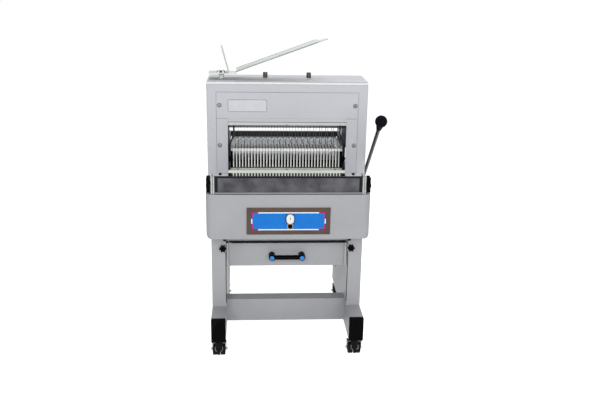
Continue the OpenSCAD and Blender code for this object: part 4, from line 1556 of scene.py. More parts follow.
@dataclass
class Cabinet:
    """Drive cabinet with its control panel, in millimetres.

    Attributes:
        film: left, right, low and high edge of the blue film.
        film_face: Y of the pocket that carries the film.
        film_thick: its thickness.
        film_gap: gap round the button and the key.
        ink_in: how far the ink line keeps from the film's edge.
        ink_wide: width of the ink line.
        ink_thick: its thickness, drawn so that it keeps clear of the film.
        corner_mark: length of the red corner marks.
        mark_wide: their width.
        mark_thick: thickness of the flat and of the upright marks, which cross.
        button: (X, Z) of the push button, and its width and height.
        button_mark: width, height and corner radius of the bar on it.
        button_mark_up: how far the bar sits over the button's middle.
        key: (X, Z) of the key switch, and its diameter.
        key_gap: gap between the key and its ring.
        ring_wide: width of the ring round the key.
        collar_gap: gap between the button and its collar.
        collar_wide: width of the collar.
        stadium_flat: how much less than half its width a stadium's corner radius is.
    """

    film: tuple[float, float, float, float] = (-141.0, 141.0, 518.5, 590.5)
    film_face: float = -273.0
    film_thick: float = 0.7
    film_gap: float = 0.8
    ink_in: float = 0.6
    ink_wide: float = 4.2
    ink_thick: float = 0.08
    corner_mark: float = 26.0
    mark_wide: float = 5.2
    mark_thick: tuple[float, float] = (0.05, 0.06)
    button: tuple[float, float, float, float] = (6.0, 564.0, 29.0, 38.0)
    button_mark: Point = (2.4, 11.0, 1.1)
    button_mark_up: float = 3.0
    key: Point = (6.0, 534.5, 17.0)
    key_gap: float = 0.45
    ring_wide: float = 2.6
    collar_gap: float = 0.8
    collar_wide: float = 1.8
    stadium_flat: float = 0.1

    def dress(self, shop: Shop) -> None:
        """Build and fit every piece of the cabinet.

        Args:
            shop: the frame to dress.
        """
        shop.soften(BASE_PAINT, "cabinet_shell", rim=0.6)
        shop.soften(BEZEL_PLASTIC, "control_bezel", rim=0.6)
        shop.soften(WHITE_PLASTIC, "switch_button", rim=3.0)
        shop.soften(BLACK_PLASTIC, "key_barrel", rim=0.6)
        self.panel(shop)
        self.key_ring(shop)

    def stadium(self, gap: float, steps: int = 6) -> Outline:
        """Outline round the button at a distance, with so many facets a corner."""
        wide, tall = (size + 2 * gap for size in self.button[2:])
        return rounded_outline(wide, tall, wide / 2 - self.stadium_flat, steps)

    def panel(self, shop: Shop) -> None:
        """Fit the blue film with its ink, open round the button and the key.

        Args:
            shop: the frame to dress.
        """
        left, right, low, high = self.film
        x, z = (left + right) / 2, (low + high) / 2
        wide, tall = right - left, high - low
        bx, bz = self.button[:2]
        kx, kz, kd = self.key
        back = self.film_face + CUT_BACK
        sheet = plate((wide, tall, 2.0), (x, self.film_face, z), Axis.FRONT, self.film_thick)
        slot = pad(self.stadium(self.film_gap), (bx, back, bz), Axis.FRONT, CUT_LONG)
        bore = rod(kd / 2 + self.film_gap, CUT_LONG, (kx, back, kz), Axis.FRONT)
        shop.fit("control_film", cut(sheet, slot, bore), "machine", BLUE_FILM, "bezel_plastic")
        face = self.film_face - self.film_thick
        a, b = wide - 2 * self.ink_in, tall - 2 * self.ink_in
        w = 2 * self.ink_wide
        opening = rounded_outline(a - w, b - w, 0.5)
        frame = pad(
            rounded_outline(a, b, 1.5), (x, face, z), Axis.FRONT, self.ink_thick, hole=opening
        )
        shop.fit("control_border", frame, "machine", WHITE_INK, "white_plastic")
        flat, upright = self.mark_thick
        long, slim = self.corner_mark, self.mark_wide
        marks = []
        for sx in SIDES:
            for sz in SIDES:
                for u, v, thick in ((long, slim, flat), (slim, long, upright)):
                    at = (x + sx * (a - u) / 2, face - self.ink_thick, z + sz * (b - v) / 2)
                    marks.append(plate((u, v, 0.4), at, Axis.FRONT, thick))
        shop.fit("control_corner_marks", joined(*marks), "machine", RED_INK, "bezel_plastic")
        at = (bx, box_mm("switch_button")[0].y, bz + self.button_mark_up)
        bar = plate(self.button_mark, at, Axis.FRONT, 0.4, 0.1)
        shop.fit("button_mark", bar, "button", GREY_RUBBER_AND_SHADE, "dark_paint")

    def key_ring(self, shop: Shop) -> None:
        """Fit the turned ring round the key barrel, and the dark collar of the button.

        Args:
            shop: the frame to dress.
        """
        x, z, wide = self.key
        bx, bz = self.button[:2]
        face = self.film_face - self.film_thick
        inner = wide / 2 + self.key_gap
        outline, hole = (
            rounded_outline(2 * r, 2 * r, r, 8) for r in (inner + self.ring_wide, inner)
        )
        opening = self.stadium(self.collar_gap, 10)
        edge = self.stadium(self.collar_gap + self.collar_wide, 10)
        ring = pad(outline, (x, face, z), Axis.FRONT, 2.2, 0.5, hole)
        slot = pad(opening, (bx, face + CUT_BACK, bz), Axis.FRONT, CUT_LONG)
        shop.fit("key_ring", cut(ring, slot), "machine", BRASS, "bronze")
        collar = pad(edge, (bx, face, bz), Axis.FRONT, 1.6, 0.4, opening)
        bore = rod(inner, CUT_LONG, (x, face + CUT_BACK, z), Axis.FRONT)
        shop.fit("button_collar", cut(collar, bore), "machine", BLACK_PLASTIC, "black_plastic")


@dataclass
class Portal:
    """Blade housing with its covers, plate, ledges and screws, in millimetres.

    Attributes:
        plate: left, right, low and high edge of the bare plate.
        plate_round: radius of its corners.
        shade_outline: how far the dark outline round the plate shows round it, painted shadow of
            the plate's edge.
        screw_x: distance of the cover screws from the middle.
        screw_z: heights of the cover screws.
        screw: a cover screw.
        bolt: X, Y and Z of the right ledge bolt's foot.
        bolt_head: a ledge bolt.
        seam: half width of the cover, its foot, the strips' top and the head's top.
        seam_inner: X of the strips' inner edge.
        seam_r: radius of the grey lines round the cover and along the roof lip's edges, painted
            shade of the seams and of the roof's front fold.
        strip_r: radius of the grey line over the strips, painted shade of that seam.
        seam_out: how far the strips stand out of the shell.
        lip_foot: how far the roof's turned-down lip ends under its top.
        lip_head: how far the lip starts under it.
        lip_in: how far the lip keeps from the shell's sides.
    """

    plate: tuple[float, float, float, float] = (-228.0, -81.0, 937.0, 981.0)
    plate_round: float = 4.0
    shade_outline: float = 1.5
    screw_x: float = 262.0
    screw_z: tuple[float, float] = (804.0, 960.0)
    screw: Fastener = Fastener(13.0, 3.0, Recess.CROSS, 7.0, 1.6, washer=18.0)
    bolt: Point = (261.0, -107.0, 691.0)
    bolt_head: Fastener = Fastener(12.0, 7.0, Recess.HEX, 6.0, 3.0, 0.15)
    seam: tuple[float, float, float, float] = (273.4, 693.0, 909.5, 1010.4)
    seam_inner: float = 231.0
    seam_r: float = 0.9
    strip_r: float = 0.7
    seam_out: float = 0.4
    lip_foot: float = 15.5
    lip_head: float = 7.5
    lip_in: float = 1.0

    def dress(self, shop: Shop) -> None:
        """Build and fit every piece of the portal.

        Args:
            shop: the frame to dress.
        """
        shop.soften(SILVER_PAINT, "portal_shell", fold=5.0, rim=0.6)
        shop.soften(SILVER_PAINT, "front_cover", "rear_cover", rim=0.5)
        shop.soften(WHITE_PLASTIC, "side_ledges", fold=2.0, rim=0.4)
        shop.soften(LEVER_STEEL, "roof_studs", rim=1.5)
        self.fasteners(shop)
        self.seams(shop)
        left, right, low, high = self.plate
        at = ((left + right) / 2, box_mm("front_cover")[0].y, (low + high) / 2)
        wide, tall, out = right - left, high - low, self.shade_outline
        blank = plate((wide, tall, self.plate_round), at, Axis.FRONT, 1.6, 0.7)
        shop.fit("bare_plate", blank, "machine", PLATE_METAL, "zinc_steel")
        # The dark sheet round the bare plate is a painted shadow along its edge
        size = (wide + 2 * out, tall + 2 * out, self.plate_round + out)
        shop.fit(
            "plate_shadow_outline", plate(size, at, Axis.FRONT, 0.5), "machine", GREY_RUBBER_AND_SHADE, "dark_paint"
        )

    def seams(self, shop: Shop) -> None:
        """Fit grey lines that paint the shade of the front cover's seams, and the roof's pale
        turned-down lip, whose brightness is a painted highlight of the roof's front edge.

        Args:
            shop: the frame to dress.
        """
        half, foot, strip_top, head_top = self.seam
        shell_low, shell_high = box_mm("portal_shell")
        face = shell_low.y - self.seam_out
        front = box_mm("front_cover")[0].y
        reach = shell_high.x - self.lip_in
        low, high = shell_high.z - self.lip_foot, shell_high.z - self.lip_head
        # Grey lines round the cover and along the lip: painted shade of the seams and of the roof's
        # front fold
        paths = [[(s * half, face, foot), (s * half, face, head_top)] for s in SIDES]
        paths.append([(-half, face, head_top), (half, face, head_top)])
        paths += [[(-reach, shell_low.y, z), (reach, shell_low.y, z)] for z in (low, high)]
        strips = [swept(path, self.seam_r, 10) for path in paths]
        for s in SIDES:
            path = [(s * self.seam_inner, front, strip_top), (s * half, front, strip_top)]
            strips.append(swept(path, self.strip_r, 10))
        shop.fit("cover_seam_shade_lines", joined(*strips), "machine", GREY_RUBBER_AND_SHADE, "dark_paint")
        # The turned-down lip is pale plastic: a painted highlight along the roof's front edge
        at = (0.0, shell_low.y, (low + high) / 2)
        lip = plate((2 * reach, high - low, 1.0), at, Axis.FRONT, 0.9, 0.3)
        shop.fit("roof_lip_highlight", lip, "machine", WHITE_PLASTIC, "white_plastic")

    def fasteners(self, shop: Shop) -> None:
        """Fit the cover screws front and rear, and the ledge bolts.

        Args:
            shop: the frame to dress.
        """
        front = box_mm("front_cover")[0].y
        rear = box_mm("rear_cover")[1].y
        feet = [(s * self.screw_x, front, z) for s in SIDES for z in self.screw_z]
        heads = self.screw.place("cover_screws_front", feet, Axis.FRONT, BRACKET_STEEL)
        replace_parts(shop.seat(heads, "machine", "zinc_steel"), "panel_screws")
        feet = [(s * self.screw_x, rear, max(self.screw_z)) for s in SIDES]
        heads = self.screw.place("cover_screws_rear", feet, Axis.BACK, BRACKET_STEEL)
        shop.seat(heads, "machine", "zinc_steel")
        x, y, z = self.bolt
        feet = [(s * x, y, z) for s in SIDES]
        heads = self.bolt_head.place("ledge_bolts", feet, Axis.UP, BLACK_OXIDE)
        shop.seat(heads, "machine", "black_plastic")


@dataclass
class Outlet:
    """Bars, sill, deck and loaf guides in the portal's opening, in millimetres.

    Attributes:
        bar_screws: X of the guide bar's screws.
        bar_screw: one of them.
        sill_screws: X of the sill's screws.
        sill_screw_y: their distance to the portal's middle.
        sill_screw: one of them.
        arm: (X, Z) points of the right guide arm.
        arm_y: Y of the arms' middle.
        arm_r: radius of their wire.
        roller: radius, half width and edge bevel of the rollers.
        curtain: width, height and corner radius of the rubber sheet behind the sill's teeth.
        curtain_place: its foot over the sill's, and its inset.
        liner: depth, height and corner radius of the dark sheets beside the opening.
        liner_thick: their thickness.
        liner_place: the middle of the right one.
    """

    bar_screws: tuple[float, ...] = (-204.0, 0.0, 204.0)
    bar_screw: Fastener = Fastener(8.5, 2.0, Recess.CROSS, 4.6, 1.0)
    sill_screws: tuple[float, ...] = (-193.0, 0.0, 193.0)
    sill_screw_y: float = -62.0
    sill_screw: Fastener = Fastener(10.0, 0.6, Recess.HEX, 5.0, 0.4, 0.1)
    arm: Outline = ((208, 884), (208, 848), (211, 832), (220, 812), (223, 800), (223, 746))
    arm_y: float = -60.0
    arm_r: float = 3.2
    roller: Point = (10.0, 5.0, 1.5)
    curtain: Point = (440.0, 32.0, 1.0)
    curtain_place: tuple[float, float] = (7.5, 3.3)
    liner: Point = (150.0, 80.0, 2.0)
    liner_thick: float = 1.2
    liner_place: Point = (231.0, 5.0, 840.8)

    def dress(self, shop: Shop) -> None:
        """Build and fit every piece of the outlet.

        Args:
            shop: the frame to dress.
        """
        shop.soften(WHITE_PAINT, "upper_guide_bar", fold=1.5)
        shop.soften(SILL_PLASTIC, "sill_bar", rim=0.4)
        # The slotted deck is drawn near black: painted shade inside the machine
        shop.paint(PAINTED_SHADE_DECK_STEEL, "slotted_deck")
        shop.paint(STAINLESS, "infeed_table")
        low, high = box_mm("upper_guide_bar")
        feet = [(x, low.y, (low.z + high.z) / 2) for x in self.bar_screws]
        heads = self.bar_screw.place("guide_bar_screws", feet, Axis.FRONT, ZINC_STEEL)
        shop.seat(heads, "machine", "zinc_steel")
        low, high = box_mm("sill_bar")
        feet = [(x, self.sill_screw_y, high.z) for x in self.sill_screws]
        heads = self.sill_screw.place("sill_screws", feet, Axis.UP, BLACK_OXIDE)
        shop.seat(heads, "machine", "black_plastic")
        foot, inset = self.curtain_place
        at = (0.0, low.y + inset, low.z + foot + self.curtain[1] / 2)
        sheet = plate(self.curtain, at, Axis.FRONT, 1.0, 0.2)
        shop.fit("crumb_curtain", sheet, "machine", BELT_RUBBER, "belt_rubber")
        x, y, z = self.liner_place
        plates = [
            plate(self.liner, (axis.value[0] * x, y, z), axis, self.liner_thick, 0.2)
            for axis in (Axis.LEFT, Axis.RIGHT)
        ]
        shop.fit("opening_liners", joined(*plates), "machine", DARK_PAINT, "dark_paint")
        self.guide_arms(shop)

    def guide_arms(self, shop: Shop) -> None:
        """Fit the dark bent arms down both sides of the opening, each with a roller.

        Args:
            shop: the frame to dress.
        """
        r, half, e = self.roller
        profile = [(0, 0), (r - e, 0), (r, e), (r, 2 * half - e), (r - e, 2 * half), (0, 2 * half)]
        x, z = self.arm[-1]
        arms = [swept([(s * u, self.arm_y, w) for u, w in self.arm], self.arm_r, 12) for s in SIDES]
        rollers = [turned(profile, (s * x, self.arm_y - half, z), Axis.BACK, 28) for s in SIDES]
        shop.fit("loaf_guide_arms", joined(*arms), "machine", DARK_PAINT, "dark_paint")
        shop.fit("loaf_guide_rollers", joined(*rollers), "machine", BLACK_PLASTIC, "black_plastic")


@dataclass
class CatchTray:
    """Stainless tray with brackets and clamp knobs, in millimetres.

    Attributes:
        hem: width of the near-black frame round the front wall, painted shade along its edges.
        lip: height of the bright lip along its foot.
        lip_up: how far the lip sits over the foot.
        ribs: how far the ribs of a bracket keep from its outer edge.
        rib: width, depth and edge radius of a rib.
        groove: the same of the dark rubber strip between the ribs.
        rib_in: how far ribs and seal keep from a bracket's ends.
    """

    hem: float = 8.0
    lip: float = 4.0
    lip_up: float = 3.0
    ribs: tuple[float, float] = (3.0, 10.5)
    rib: Point = (3.2, 2.4, 0.8)
    groove: Point = (1.6, 0.8, 0.3)
    rib_in: float = 1.0

    def dress(self, shop: Shop) -> None:
        """Build and fit every piece of the tray.

        Args:
            shop: the frame to dress.
        """
        # The catch tray's dark stainless is a painted reflection of a dark room
        shop.soften(TRAY_STEEL, "catch_tray", rim=0.4)
        shop.soften(BRACKET_STEEL, "tray_brackets", rim=0.5)
        shop.soften(BLACK_PLASTIC, "left_tray_knob", "right_tray_knob", rim=2.0)
        low, high = box_mm("catch_tray")
        wide, tall = high.x - low.x, high.z - low.z
        x = (low.x + high.x) / 2
        # A near-black frame round the tray's front face: painted shade along its edges
        hem = pad(
            rounded_outline(wide - 1, tall - 1, 1.5),
            (x, low.y, (low.z + high.z) / 2),
            Axis.FRONT,
            0.9,
            hole=rounded_outline(wide - 3 * self.hem, tall - 2 * self.hem, 1.0),
        )
        shop.fit("tray_hem", hem, "machine", TRAY_SHADE_STEEL, "stainless")
        at = (x, low.y, low.z + self.lip_up + self.lip / 2)
        lip = plate((wide - 1, self.lip, 1.0), at, Axis.FRONT, 1.8, 0.5)
        shop.fit("tray_lip", lip, "machine", STAINLESS, "stainless")
        low, high = box_mm("tray_brackets")
        long = high.z - low.z - 2 * self.rib_in
        between = (sum(self.ribs) / 2,)
        for name, (width, depth, fillet), places, finish, slot in (
            ("bracket_ribs", self.rib, self.ribs, WHITE_PAINT, "stainless"),
            ("bracket_seals", self.groove, between, GREY_RUBBER_AND_SHADE, "dark_paint"),
        ):
            feet = [(s * (high.x - x), low.y, low.z + self.rib_in) for s in SIDES for x in places]
            bar = RoundedBar(width, depth, long, fillet)
            shop.seat(bar.place(name, feet, Axis.UP, finish), "machine", slot)


@dataclass
class CrumbDrawer:
    """Drawer with its bridge handle and screw covers, in millimetres.

    Attributes:
        cap_x: distance of the screw covers from the middle.
        cap_z: their height.
        cap_r: their radius.
        boss_r: radius of the handle's bosses.
    """

    cap_x: float = 59.0
    cap_z: float = 377.0
    cap_r: float = 8.8
    boss_r: float = 12.5

    def dress(self, shop: Shop) -> None:
        """Build and fit every piece of the drawer.

        Args:
            shop: the frame to dress.
        """
        shop.soften(BASE_PAINT, "crumb_drawer", rim=0.6)
        shop.soften(BLACK_PLASTIC, "drawer_handle", rim=2.0)
        face, foot = (corner.y for corner in box_mm("drawer_handle"))
        b, long = self.boss_r, foot - face
        barrel = [(0, 0), (b, 0), (b, long - 3.0), (b - 0.8, long - 1.0)]
        barrel += [(b - 2.4, long), (0, long)]
        r = self.cap_r
        button = [(0, 0), (r, 0), (r, 0.8), (r - 0.8, 1.5), (r * 0.4, 1.8), (0, 1.8)]
        for name, profile, y, steps, finish, slot in (
            ("handle_bosses", barrel, foot, 32, BLACK_PLASTIC, "black_plastic"),
            ("handle_screw_covers", button, face, 28, BLUE_CAP, "bezel_plastic"),
        ):
            places = [(s * self.cap_x, y, self.cap_z) for s in SIDES]
            pair = [turned(profile, at, Axis.FRONT, steps) for at in places]
            shop.fit(name, joined(*pair), "drawer", finish, slot)


@dataclass
class LeverAndScoop:
    """Hand lever and the bagging scoop on the roof, in millimetres.

    Attributes:
        nut: a nut on the scoop's pivot.
        nut_x: X of the pivot nuts.
        nut_y: their Y.
        nut_z: top of the base plate, which carries them.
        hem: radius of the rolled edges along the trough's long sides, drawn darker than the trough
            as painted shade along its folds.
        hem_least: length from which an edge of the trough gets one of these dark lines.
        hem_turn: turn from which an edge counts, in radians.
    """

    nut: HexNut = HexNut(11.0, 6.5, 15.0, 6.5)
    nut_x: tuple[float, ...] = (-264.0, -247.0)
    nut_y: float = -52.0
    nut_z: float = 1081.0
    hem: float = 1.1
    hem_least: float = 150.0
    hem_turn: float = 0.5

    def dress(self, shop: Shop) -> None:
        """Build and fit every piece of the lever and the scoop.

        Args:
            shop: the frame to dress.
        """
        shop.soften(LEVER_STEEL, "lever_rod", rim=0.6)
        shop.soften(BALL_PLASTIC, "lever_ball", rim=0.0)
        shop.soften(SCOOP_METAL, "scoop_base", "scoop_trough", rim=0.4)
        feet = [(x, self.nut_y, self.nut_z) for x in self.nut_x]
        nuts = self.nut.place("scoop_nuts", feet, Axis.UP, ZINC_STEEL)
        shop.seat(nuts, shop.body("scoop_base"), "zinc_steel")
        # The trough's rolled edges are drawn darker than the trough: painted shade along its folds
        shade_hems = [swept(ends, self.hem, 8) for ends in self.long_edges(shop, "scoop_trough")]
        body = shop.body("scoop_trough")
        shop.fit("trough_shade_hems", joined(*shade_hems), body, STAINLESS, "stainless")

    def long_edges(self, shop: Shop, node: str) -> list[list[Point]]:
        """Find the long straight edges of a CAD node.

        Args:
            shop: the frame that holds the node.
            node: its name.

        Returns:
            Both ends of each edge, in millimetres.
        """
        form = merged(shop.frame["nodes"][node])
        ends = [
            [tuple(corner.co / MM) for corner in edge.verts]
            for edge in form.edges
            if edge.calc_length() / MM > self.hem_least
            and edge.calc_face_angle(0.0) > self.hem_turn
        ]
        form.free()
        return ends


@dataclass
class Mechanism:
    """Pusher, blade frames, crank drive and bushes, in millimetres.

    Attributes:
        pitch: distance from one comb tongue to the next.
        tongues: how many tongues the comb has.
        rim: height of the comb's front rim.
        plate: thickness of its plate.
        finger: depth of a finger.
        liner_in: how far the dark liner of the rear fold, painted shade behind the comb, keeps from
            its edges.
        sleeve: width and edge radius of the dark sleeve on a finger, painted shade in the gaps
            between the slats.
        sleeve_out: how far its depth exceeds the finger's.
        slat: width, depth and edge radius of the nylon edge on a finger.
        tip: width, depth and edge radius of a rim tip.
        tip_in: how far the tips lie behind the comb's front.
        lip: how far the rim tips stand over the plate.
        end_x: X of the end plates beside the outer fingers.
        end_wide: their width.
        end_in: how far they lie behind the comb's front.
        slot_end: Y of the rear end of every second slot.
        strip: width, depth and edge radius of the dark wiper strip behind such a slot.
        strip_long: its length.
        bead: radius of the beads pressed into the plate.
        wave_y: Y of the wavy bead.
        wave_deep: how far it swings.
        wave_steps: its facets from one tongue's middle to the next.
        arch_y: Y of the arched beads.
        arch_deep: how far they alternate.
        arch_in: how far their ends keep from the slots' middles.
        arch_drop: share of its depth that an arch has lost at its ends.
        arch_at: where an arch has its corners, from one end to the other.
    """

    pitch: float = 12.0
    tongues: int = 36
    rim: float = 8.0
    plate: float = 2.0
    finger: float = 5.0
    liner_in: float = 2.0
    sleeve: tuple[float, float] = (5.3, 0.8)
    sleeve_out: float = 0.3
    slat: Point = (3.5, 1.4, 0.5)
    tip: Point = (10.5, 2.8, 0.6)
    tip_in: float = 0.7
    lip: float = 2.4
    end_x: float = 218.4
    end_wide: float = 10.0
    end_in: float = 1.5
    slot_end: float = 70.0
    strip: Point = (3.4, 0.5, 0.2)
    strip_long: float = 58.0
    bead: float = 1.2
    wave_y: float = 160.0
    wave_deep: float = 22.0
    wave_steps: int = 12
    arch_y: float = 40.0
    arch_deep: float = 20.0
    arch_in: float = 2.0
    arch_drop: float = 0.7
    arch_at: tuple[float, ...] = (-1.0, -0.6, -0.2, 0.2, 0.6, 1.0)

    def comb(self, shop: Shop) -> None:
        """Fit the comb's sleeves, slats, rim tips, end plates, strips, beads and fold liner.

        Args:
            shop: the frame to dress.
        """
        low, high = box_mm("pusher_comb")
        middle = (self.tongues - 1) / 2
        rows = [self.pitch * (i - middle) for i in range(self.tongues)]
        tall = high.z - self.rim - low.z
        wide, fillet = self.sleeve
        sleeve = RoundedBar(wide, self.finger + self.sleeve_out, tall, fillet)
        feet = [(x, low.y + self.finger / 2, low.z) for x in rows]
        # The near-black sleeves on the fingers are painted shade in the gaps between the slats
        bars = sleeve.place("comb_sleeves_painted_shade", feet, Axis.UP, PAINTED_SHADE_DECK_STEEL)
        shop.seat(bars, "pusher", "dark_paint")
        wide, depth, fillet = self.slat
        slat = RoundedBar(wide, depth, tall, fillet)
        feet = [(x, low.y, low.z) for x in rows]
        bars = slat.place("comb_slats", feet, Axis.UP, WHITE_NYLON)
        shop.seat(bars, "pusher", "white_plastic")
        wide, depth, fillet = self.tip
        tip = RoundedBar(wide, depth, self.rim + self.lip, fillet)
        columns = (-self.end_x, *rows, self.end_x)
        feet = [(x, low.y + self.tip_in, high.z - self.rim) for x in columns]
        bars = tip.place("comb_rim_tips", feet, Axis.UP, WHITE_NYLON)
        shop.seat(bars, "pusher", "white_plastic")
        y, z = low.y + self.end_in, low.z + tall / 2
        size = (self.end_wide, tall, 1.0)
        ends = [plate(size, (s * self.end_x, y, z), Axis.FRONT, 1.2, 0.2) for s in SIDES]
        shop.fit("comb_end_plates", joined(*ends), "pusher", BLACK_PLASTIC, "black_plastic")
        wide, depth, fillet = self.strip
        strip = RoundedBar(wide, depth, self.strip_long, fillet)
        gaps = [self.pitch * (i - middle + 0.5) for i in range(1, self.tongues - 1, 2)]
        feet = [(x, self.slot_end, high.z) for x in gaps]
        bars = strip.place("comb_slot_strips", feet, Axis.BACK, BELT_RUBBER)
        shop.seat(bars, "pusher", "belt_rubber")
        self.beads(shop, rows, high.z)
        # A dark rubber liner on the comb's rear fold: painted shade inside the machine behind the
        # comb
        height = tall + self.rim - self.plate - 4 * self.liner_in
        size = (high.x - low.x - 2 * self.liner_in, height, 1.0)
        at = (0.0, high.y - self.plate, high.z - self.plate - height / 2)
        liner = plate(size, at, Axis.FRONT, 0.6)
        shop.fit("pusher_fold_shade_liner", liner, "pusher", BELT_RUBBER, "belt_rubber")

    def beads(self, shop: Shop, rows: Sequence[float], top: float) -> None:
        """Press a wavy bead into the plate, and a short arched one into every tongue, in white
        nylon: a painted highlight along the beads.

        Args:
            shop: the frame to dress.
            rows: X of the tongues, in millimetres.
            top: height of the plate.
        """
        beat = math.pi / self.pitch
        reach = rows[-1]
        steps = self.wave_steps * (len(rows) - 1)
        xs = [2 * reach * i / steps - reach for i in range(steps + 1)]
        wave = [(x, self.wave_y + self.wave_deep * math.sin(beat * x), top) for x in xs]
        forms = [swept(wave, self.bead, 8)]
        half = self.pitch / 2 - self.arch_in
        for i, x in enumerate(rows):
            deep = self.arch_deep if i % 2 else -self.arch_deep
            arch = [
                (x + half * u, self.arch_y + deep * (1.0 - self.arch_drop * u * u), top)
                for u in self.arch_at
            ]
            forms.append(swept(arch, self.bead, 8))
        # The beads are white: a painted highlight along the pressed beads of the plate
        shop.fit("comb_beads_highlight", joined(*forms), "pusher", WHITE_NYLON, "white_plastic")

    def dress(self, shop: Shop) -> None:
        """Give every working part its metal, and build the comb's pieces.

        Args:
            shop: the frame to dress.
        """
        shop.paint(COMB_METAL, "pusher_comb")
        self.comb(shop)
        shop.paint(BLADE_STEEL, "front_blades", "rear_blades")
        shop.paint(DARK_PAINT, "pusher_carriage", "motor_body", "crank_bearings")
        shop.paint(ZINC_STEEL, "front_blade_frame", "rear_blade_frame")
        shop.paint(ZINC_STEEL, "front_conrod", "rear_conrod", "crankshaft", "crank_pulley")
        shop.paint(ZINC_STEEL, "motor_rotor", "lever_shaft", "guide_rods")
        shop.paint(BLACK_PLASTIC, "blade_guides")
        shop.paint(BRONZE, "lever_bushes")
        shop.paint(BELT_RUBBER, "drive_belt")


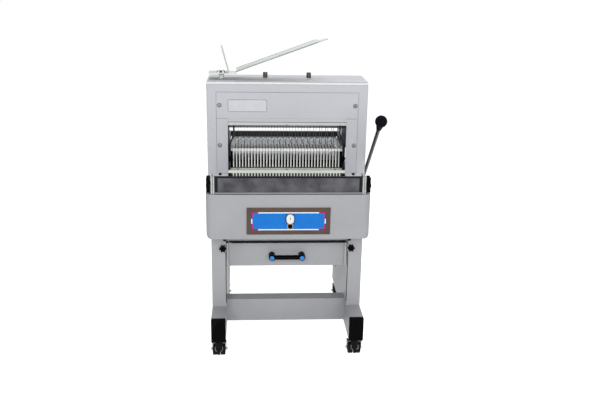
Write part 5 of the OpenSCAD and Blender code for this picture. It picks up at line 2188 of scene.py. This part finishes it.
@dataclass
class Studio:
    """Pale floor, soft lamps, white surroundings and the camera.

    Attributes:
        eye: camera place in metres.
        pitch: how far it looks down, in degrees.
        yaw: how far it looks to the right, in degrees.
        roll: its tilt, in degrees.
        lens: focal length in millimetres.
        sensor: width of its sensor in millimetres.
        aim: point that the lamps look at, in metres.
        lamps: place in metres, side in metres and power in watts of each lamp.
        floor_size: half the floor's side, in metres.
        floor_tone: sRGB hex of the floor.
        floor_glow: how far the floor is lifted to white where it is seen.
        daylight: strength of the surroundings' plain light.
    """

    eye: Point = (-0.1365, -2.9696, 1.4487)
    pitch: float = 16.703
    yaw: float = 3.778
    roll: float = 1.018
    lens: float = 45.36
    sensor: float = 36.0
    aim: Point = (0.0, 0.0, 1.0)
    lamps: tuple[tuple[str, Point, float, float], ...] = (
        ("key_lamp", (-0.8, -3.4, 2.0), 1.5, 57.0),
        ("fill_lamp", (1.2, -3.3, 1.6), 1.5, 31.0),
        ("left_lamp", (-2.9, -1.6, 1.2), 1.4, 17.0),
        ("right_lamp", (2.9, -1.6, 1.2), 1.4, 17.0),
        ("top_lamp", (0.2, 0.7, 3.2), 3.0, 62.0),
    )
    floor_size: float = 14.0
    floor_tone: str = "#d9d9d9"
    floor_glow: float = 0.95
    daylight: float = 0.12

    def dress(self) -> None:
        """Set the stage."""
        self.camera()
        self.floor()
        self.world()
        for name, place, size, power in self.lamps:
            self.lamp(name, place, size, power)

    def camera(self) -> None:
        """Camera at the photograph's viewing angle."""
        data = bpy.data.cameras.new("photo_camera")
        data.sensor_fit = "HORIZONTAL"
        data.sensor_width = self.sensor
        data.lens = self.lens
        data.clip_end = 100.0
        eye = bpy.data.objects.new("photo_camera", data)
        bpy.context.scene.collection.objects.link(eye)
        turn = (
            Matrix.Rotation(math.radians(-self.yaw), 4, "Z")
            @ Matrix.Rotation(math.radians(90 - self.pitch), 4, "X")
            @ Matrix.Rotation(math.radians(self.roll), 4, "Z")
        )
        eye.matrix_world = Matrix.Translation(self.eye) @ turn
        bpy.context.scene.camera = eye

    def lamp(self, name: str, place: Point, size: float, power: float) -> None:
        """Square soft lamp that looks at the machine's middle.

        Args:
            name: its name.
            place: where it stands, in metres.
            size: its side, in metres.
            power: its power in watts.
        """
        data = bpy.data.lights.new(name, "AREA")
        data.shape = "SQUARE"
        data.size = size
        data.energy = power
        lamp = bpy.data.objects.new(name, data)
        bpy.context.scene.collection.objects.link(lamp)
        turn = (Vector(self.aim) - Vector(place)).to_track_quat("-Z", "Y").to_matrix().to_4x4()
        lamp.matrix_world = Matrix.Translation(place) @ turn

    def floor(self) -> None:
        """Pale floor that shows white to the camera and keeps the shadow."""
        form = bmesh.new()
        bmesh.ops.create_grid(form, x_segments=8, y_segments=8, size=self.floor_size)
        mesh = bpy.data.meshes.new("floor")
        form.to_mesh(mesh)
        form.free()
        floor = bpy.data.objects.new("floor", mesh)
        bpy.context.scene.collection.objects.link(floor)
        material = bpy.data.materials.new("pale_studio_floor")
        material.use_nodes = True
        tree = material.node_tree
        tree.nodes.clear()
        matt = add_node(tree, "ShaderNodeBsdfDiffuse", {"Color": linear(self.floor_tone)})
        glow = add_node(
            tree, "ShaderNodeEmission", {"Color": linear("#ffffff"), "Strength": self.floor_glow}
        )
        both = add_node(tree, "ShaderNodeAddShader", {0: matt, 1: glow})
        mix = add_node(tree, "ShaderNodeMixShader", {0: self.seen_ray(tree), 1: matt, 2: both})
        add_node(tree, "ShaderNodeOutputMaterial", {"Surface": mix})
        mesh.materials.append(material)
        floor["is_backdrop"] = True

    @staticmethod
    def seen_ray(tree: Tree) -> Socket:
        """Tell the rays that see the background from those that light the object.

        Args:
            tree: the tree that takes the nodes.

        Returns:
            1 for camera, glossy and transmission rays, and 0 for the others.
        """
        path = add_node(tree, "ShaderNodeLightPath").outputs
        seen = path["Is Camera Ray"]
        for ray in ("Is Glossy Ray", "Is Transmission Ray"):
            either = add_node(tree, "ShaderNodeMath", {0: seen, 1: path[ray]}, operation="MAXIMUM")
            seen = either.outputs[0]
        return seen

    def world(self) -> None:
        """White surroundings for the eye and for metal, plain light for the rest."""
        scene = bpy.context.scene
        scene.view_settings.view_transform = "Standard"
        world = bpy.data.worlds.new("white_studio")
        scene.world = world
        world.use_nodes = True
        tree = world.node_tree
        tree.nodes.clear()
        plain, white = (
            add_node(
                tree, "ShaderNodeBackground", {"Color": linear("#ffffff"), "Strength": strength}
            )
            for strength in (self.daylight, 1.0)
        )
        mix = add_node(tree, "ShaderNodeMixShader", {0: self.seen_ray(tree), 1: plain, 2: white})
        add_node(tree, "ShaderNodeOutputWorld", {"Surface": mix})


def main() -> None:
    """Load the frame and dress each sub-assembly in order."""
    logging.basicConfig(level=logging.INFO, format="%(name)s: %(message)s")
    shop = Shop()
    Studio().dress()
    for assembly in (
        Stand(),
        Cabinet(),
        Portal(),
        Outlet(),
        CatchTray(),
        CrumbDrawer(),
        LeverAndScoop(),
        Mechanism(),
    ):
        assembly.dress(shop)
        LOG.info("%s is dressed", type(assembly).__name__)


if __name__ == "__main__":
    main()
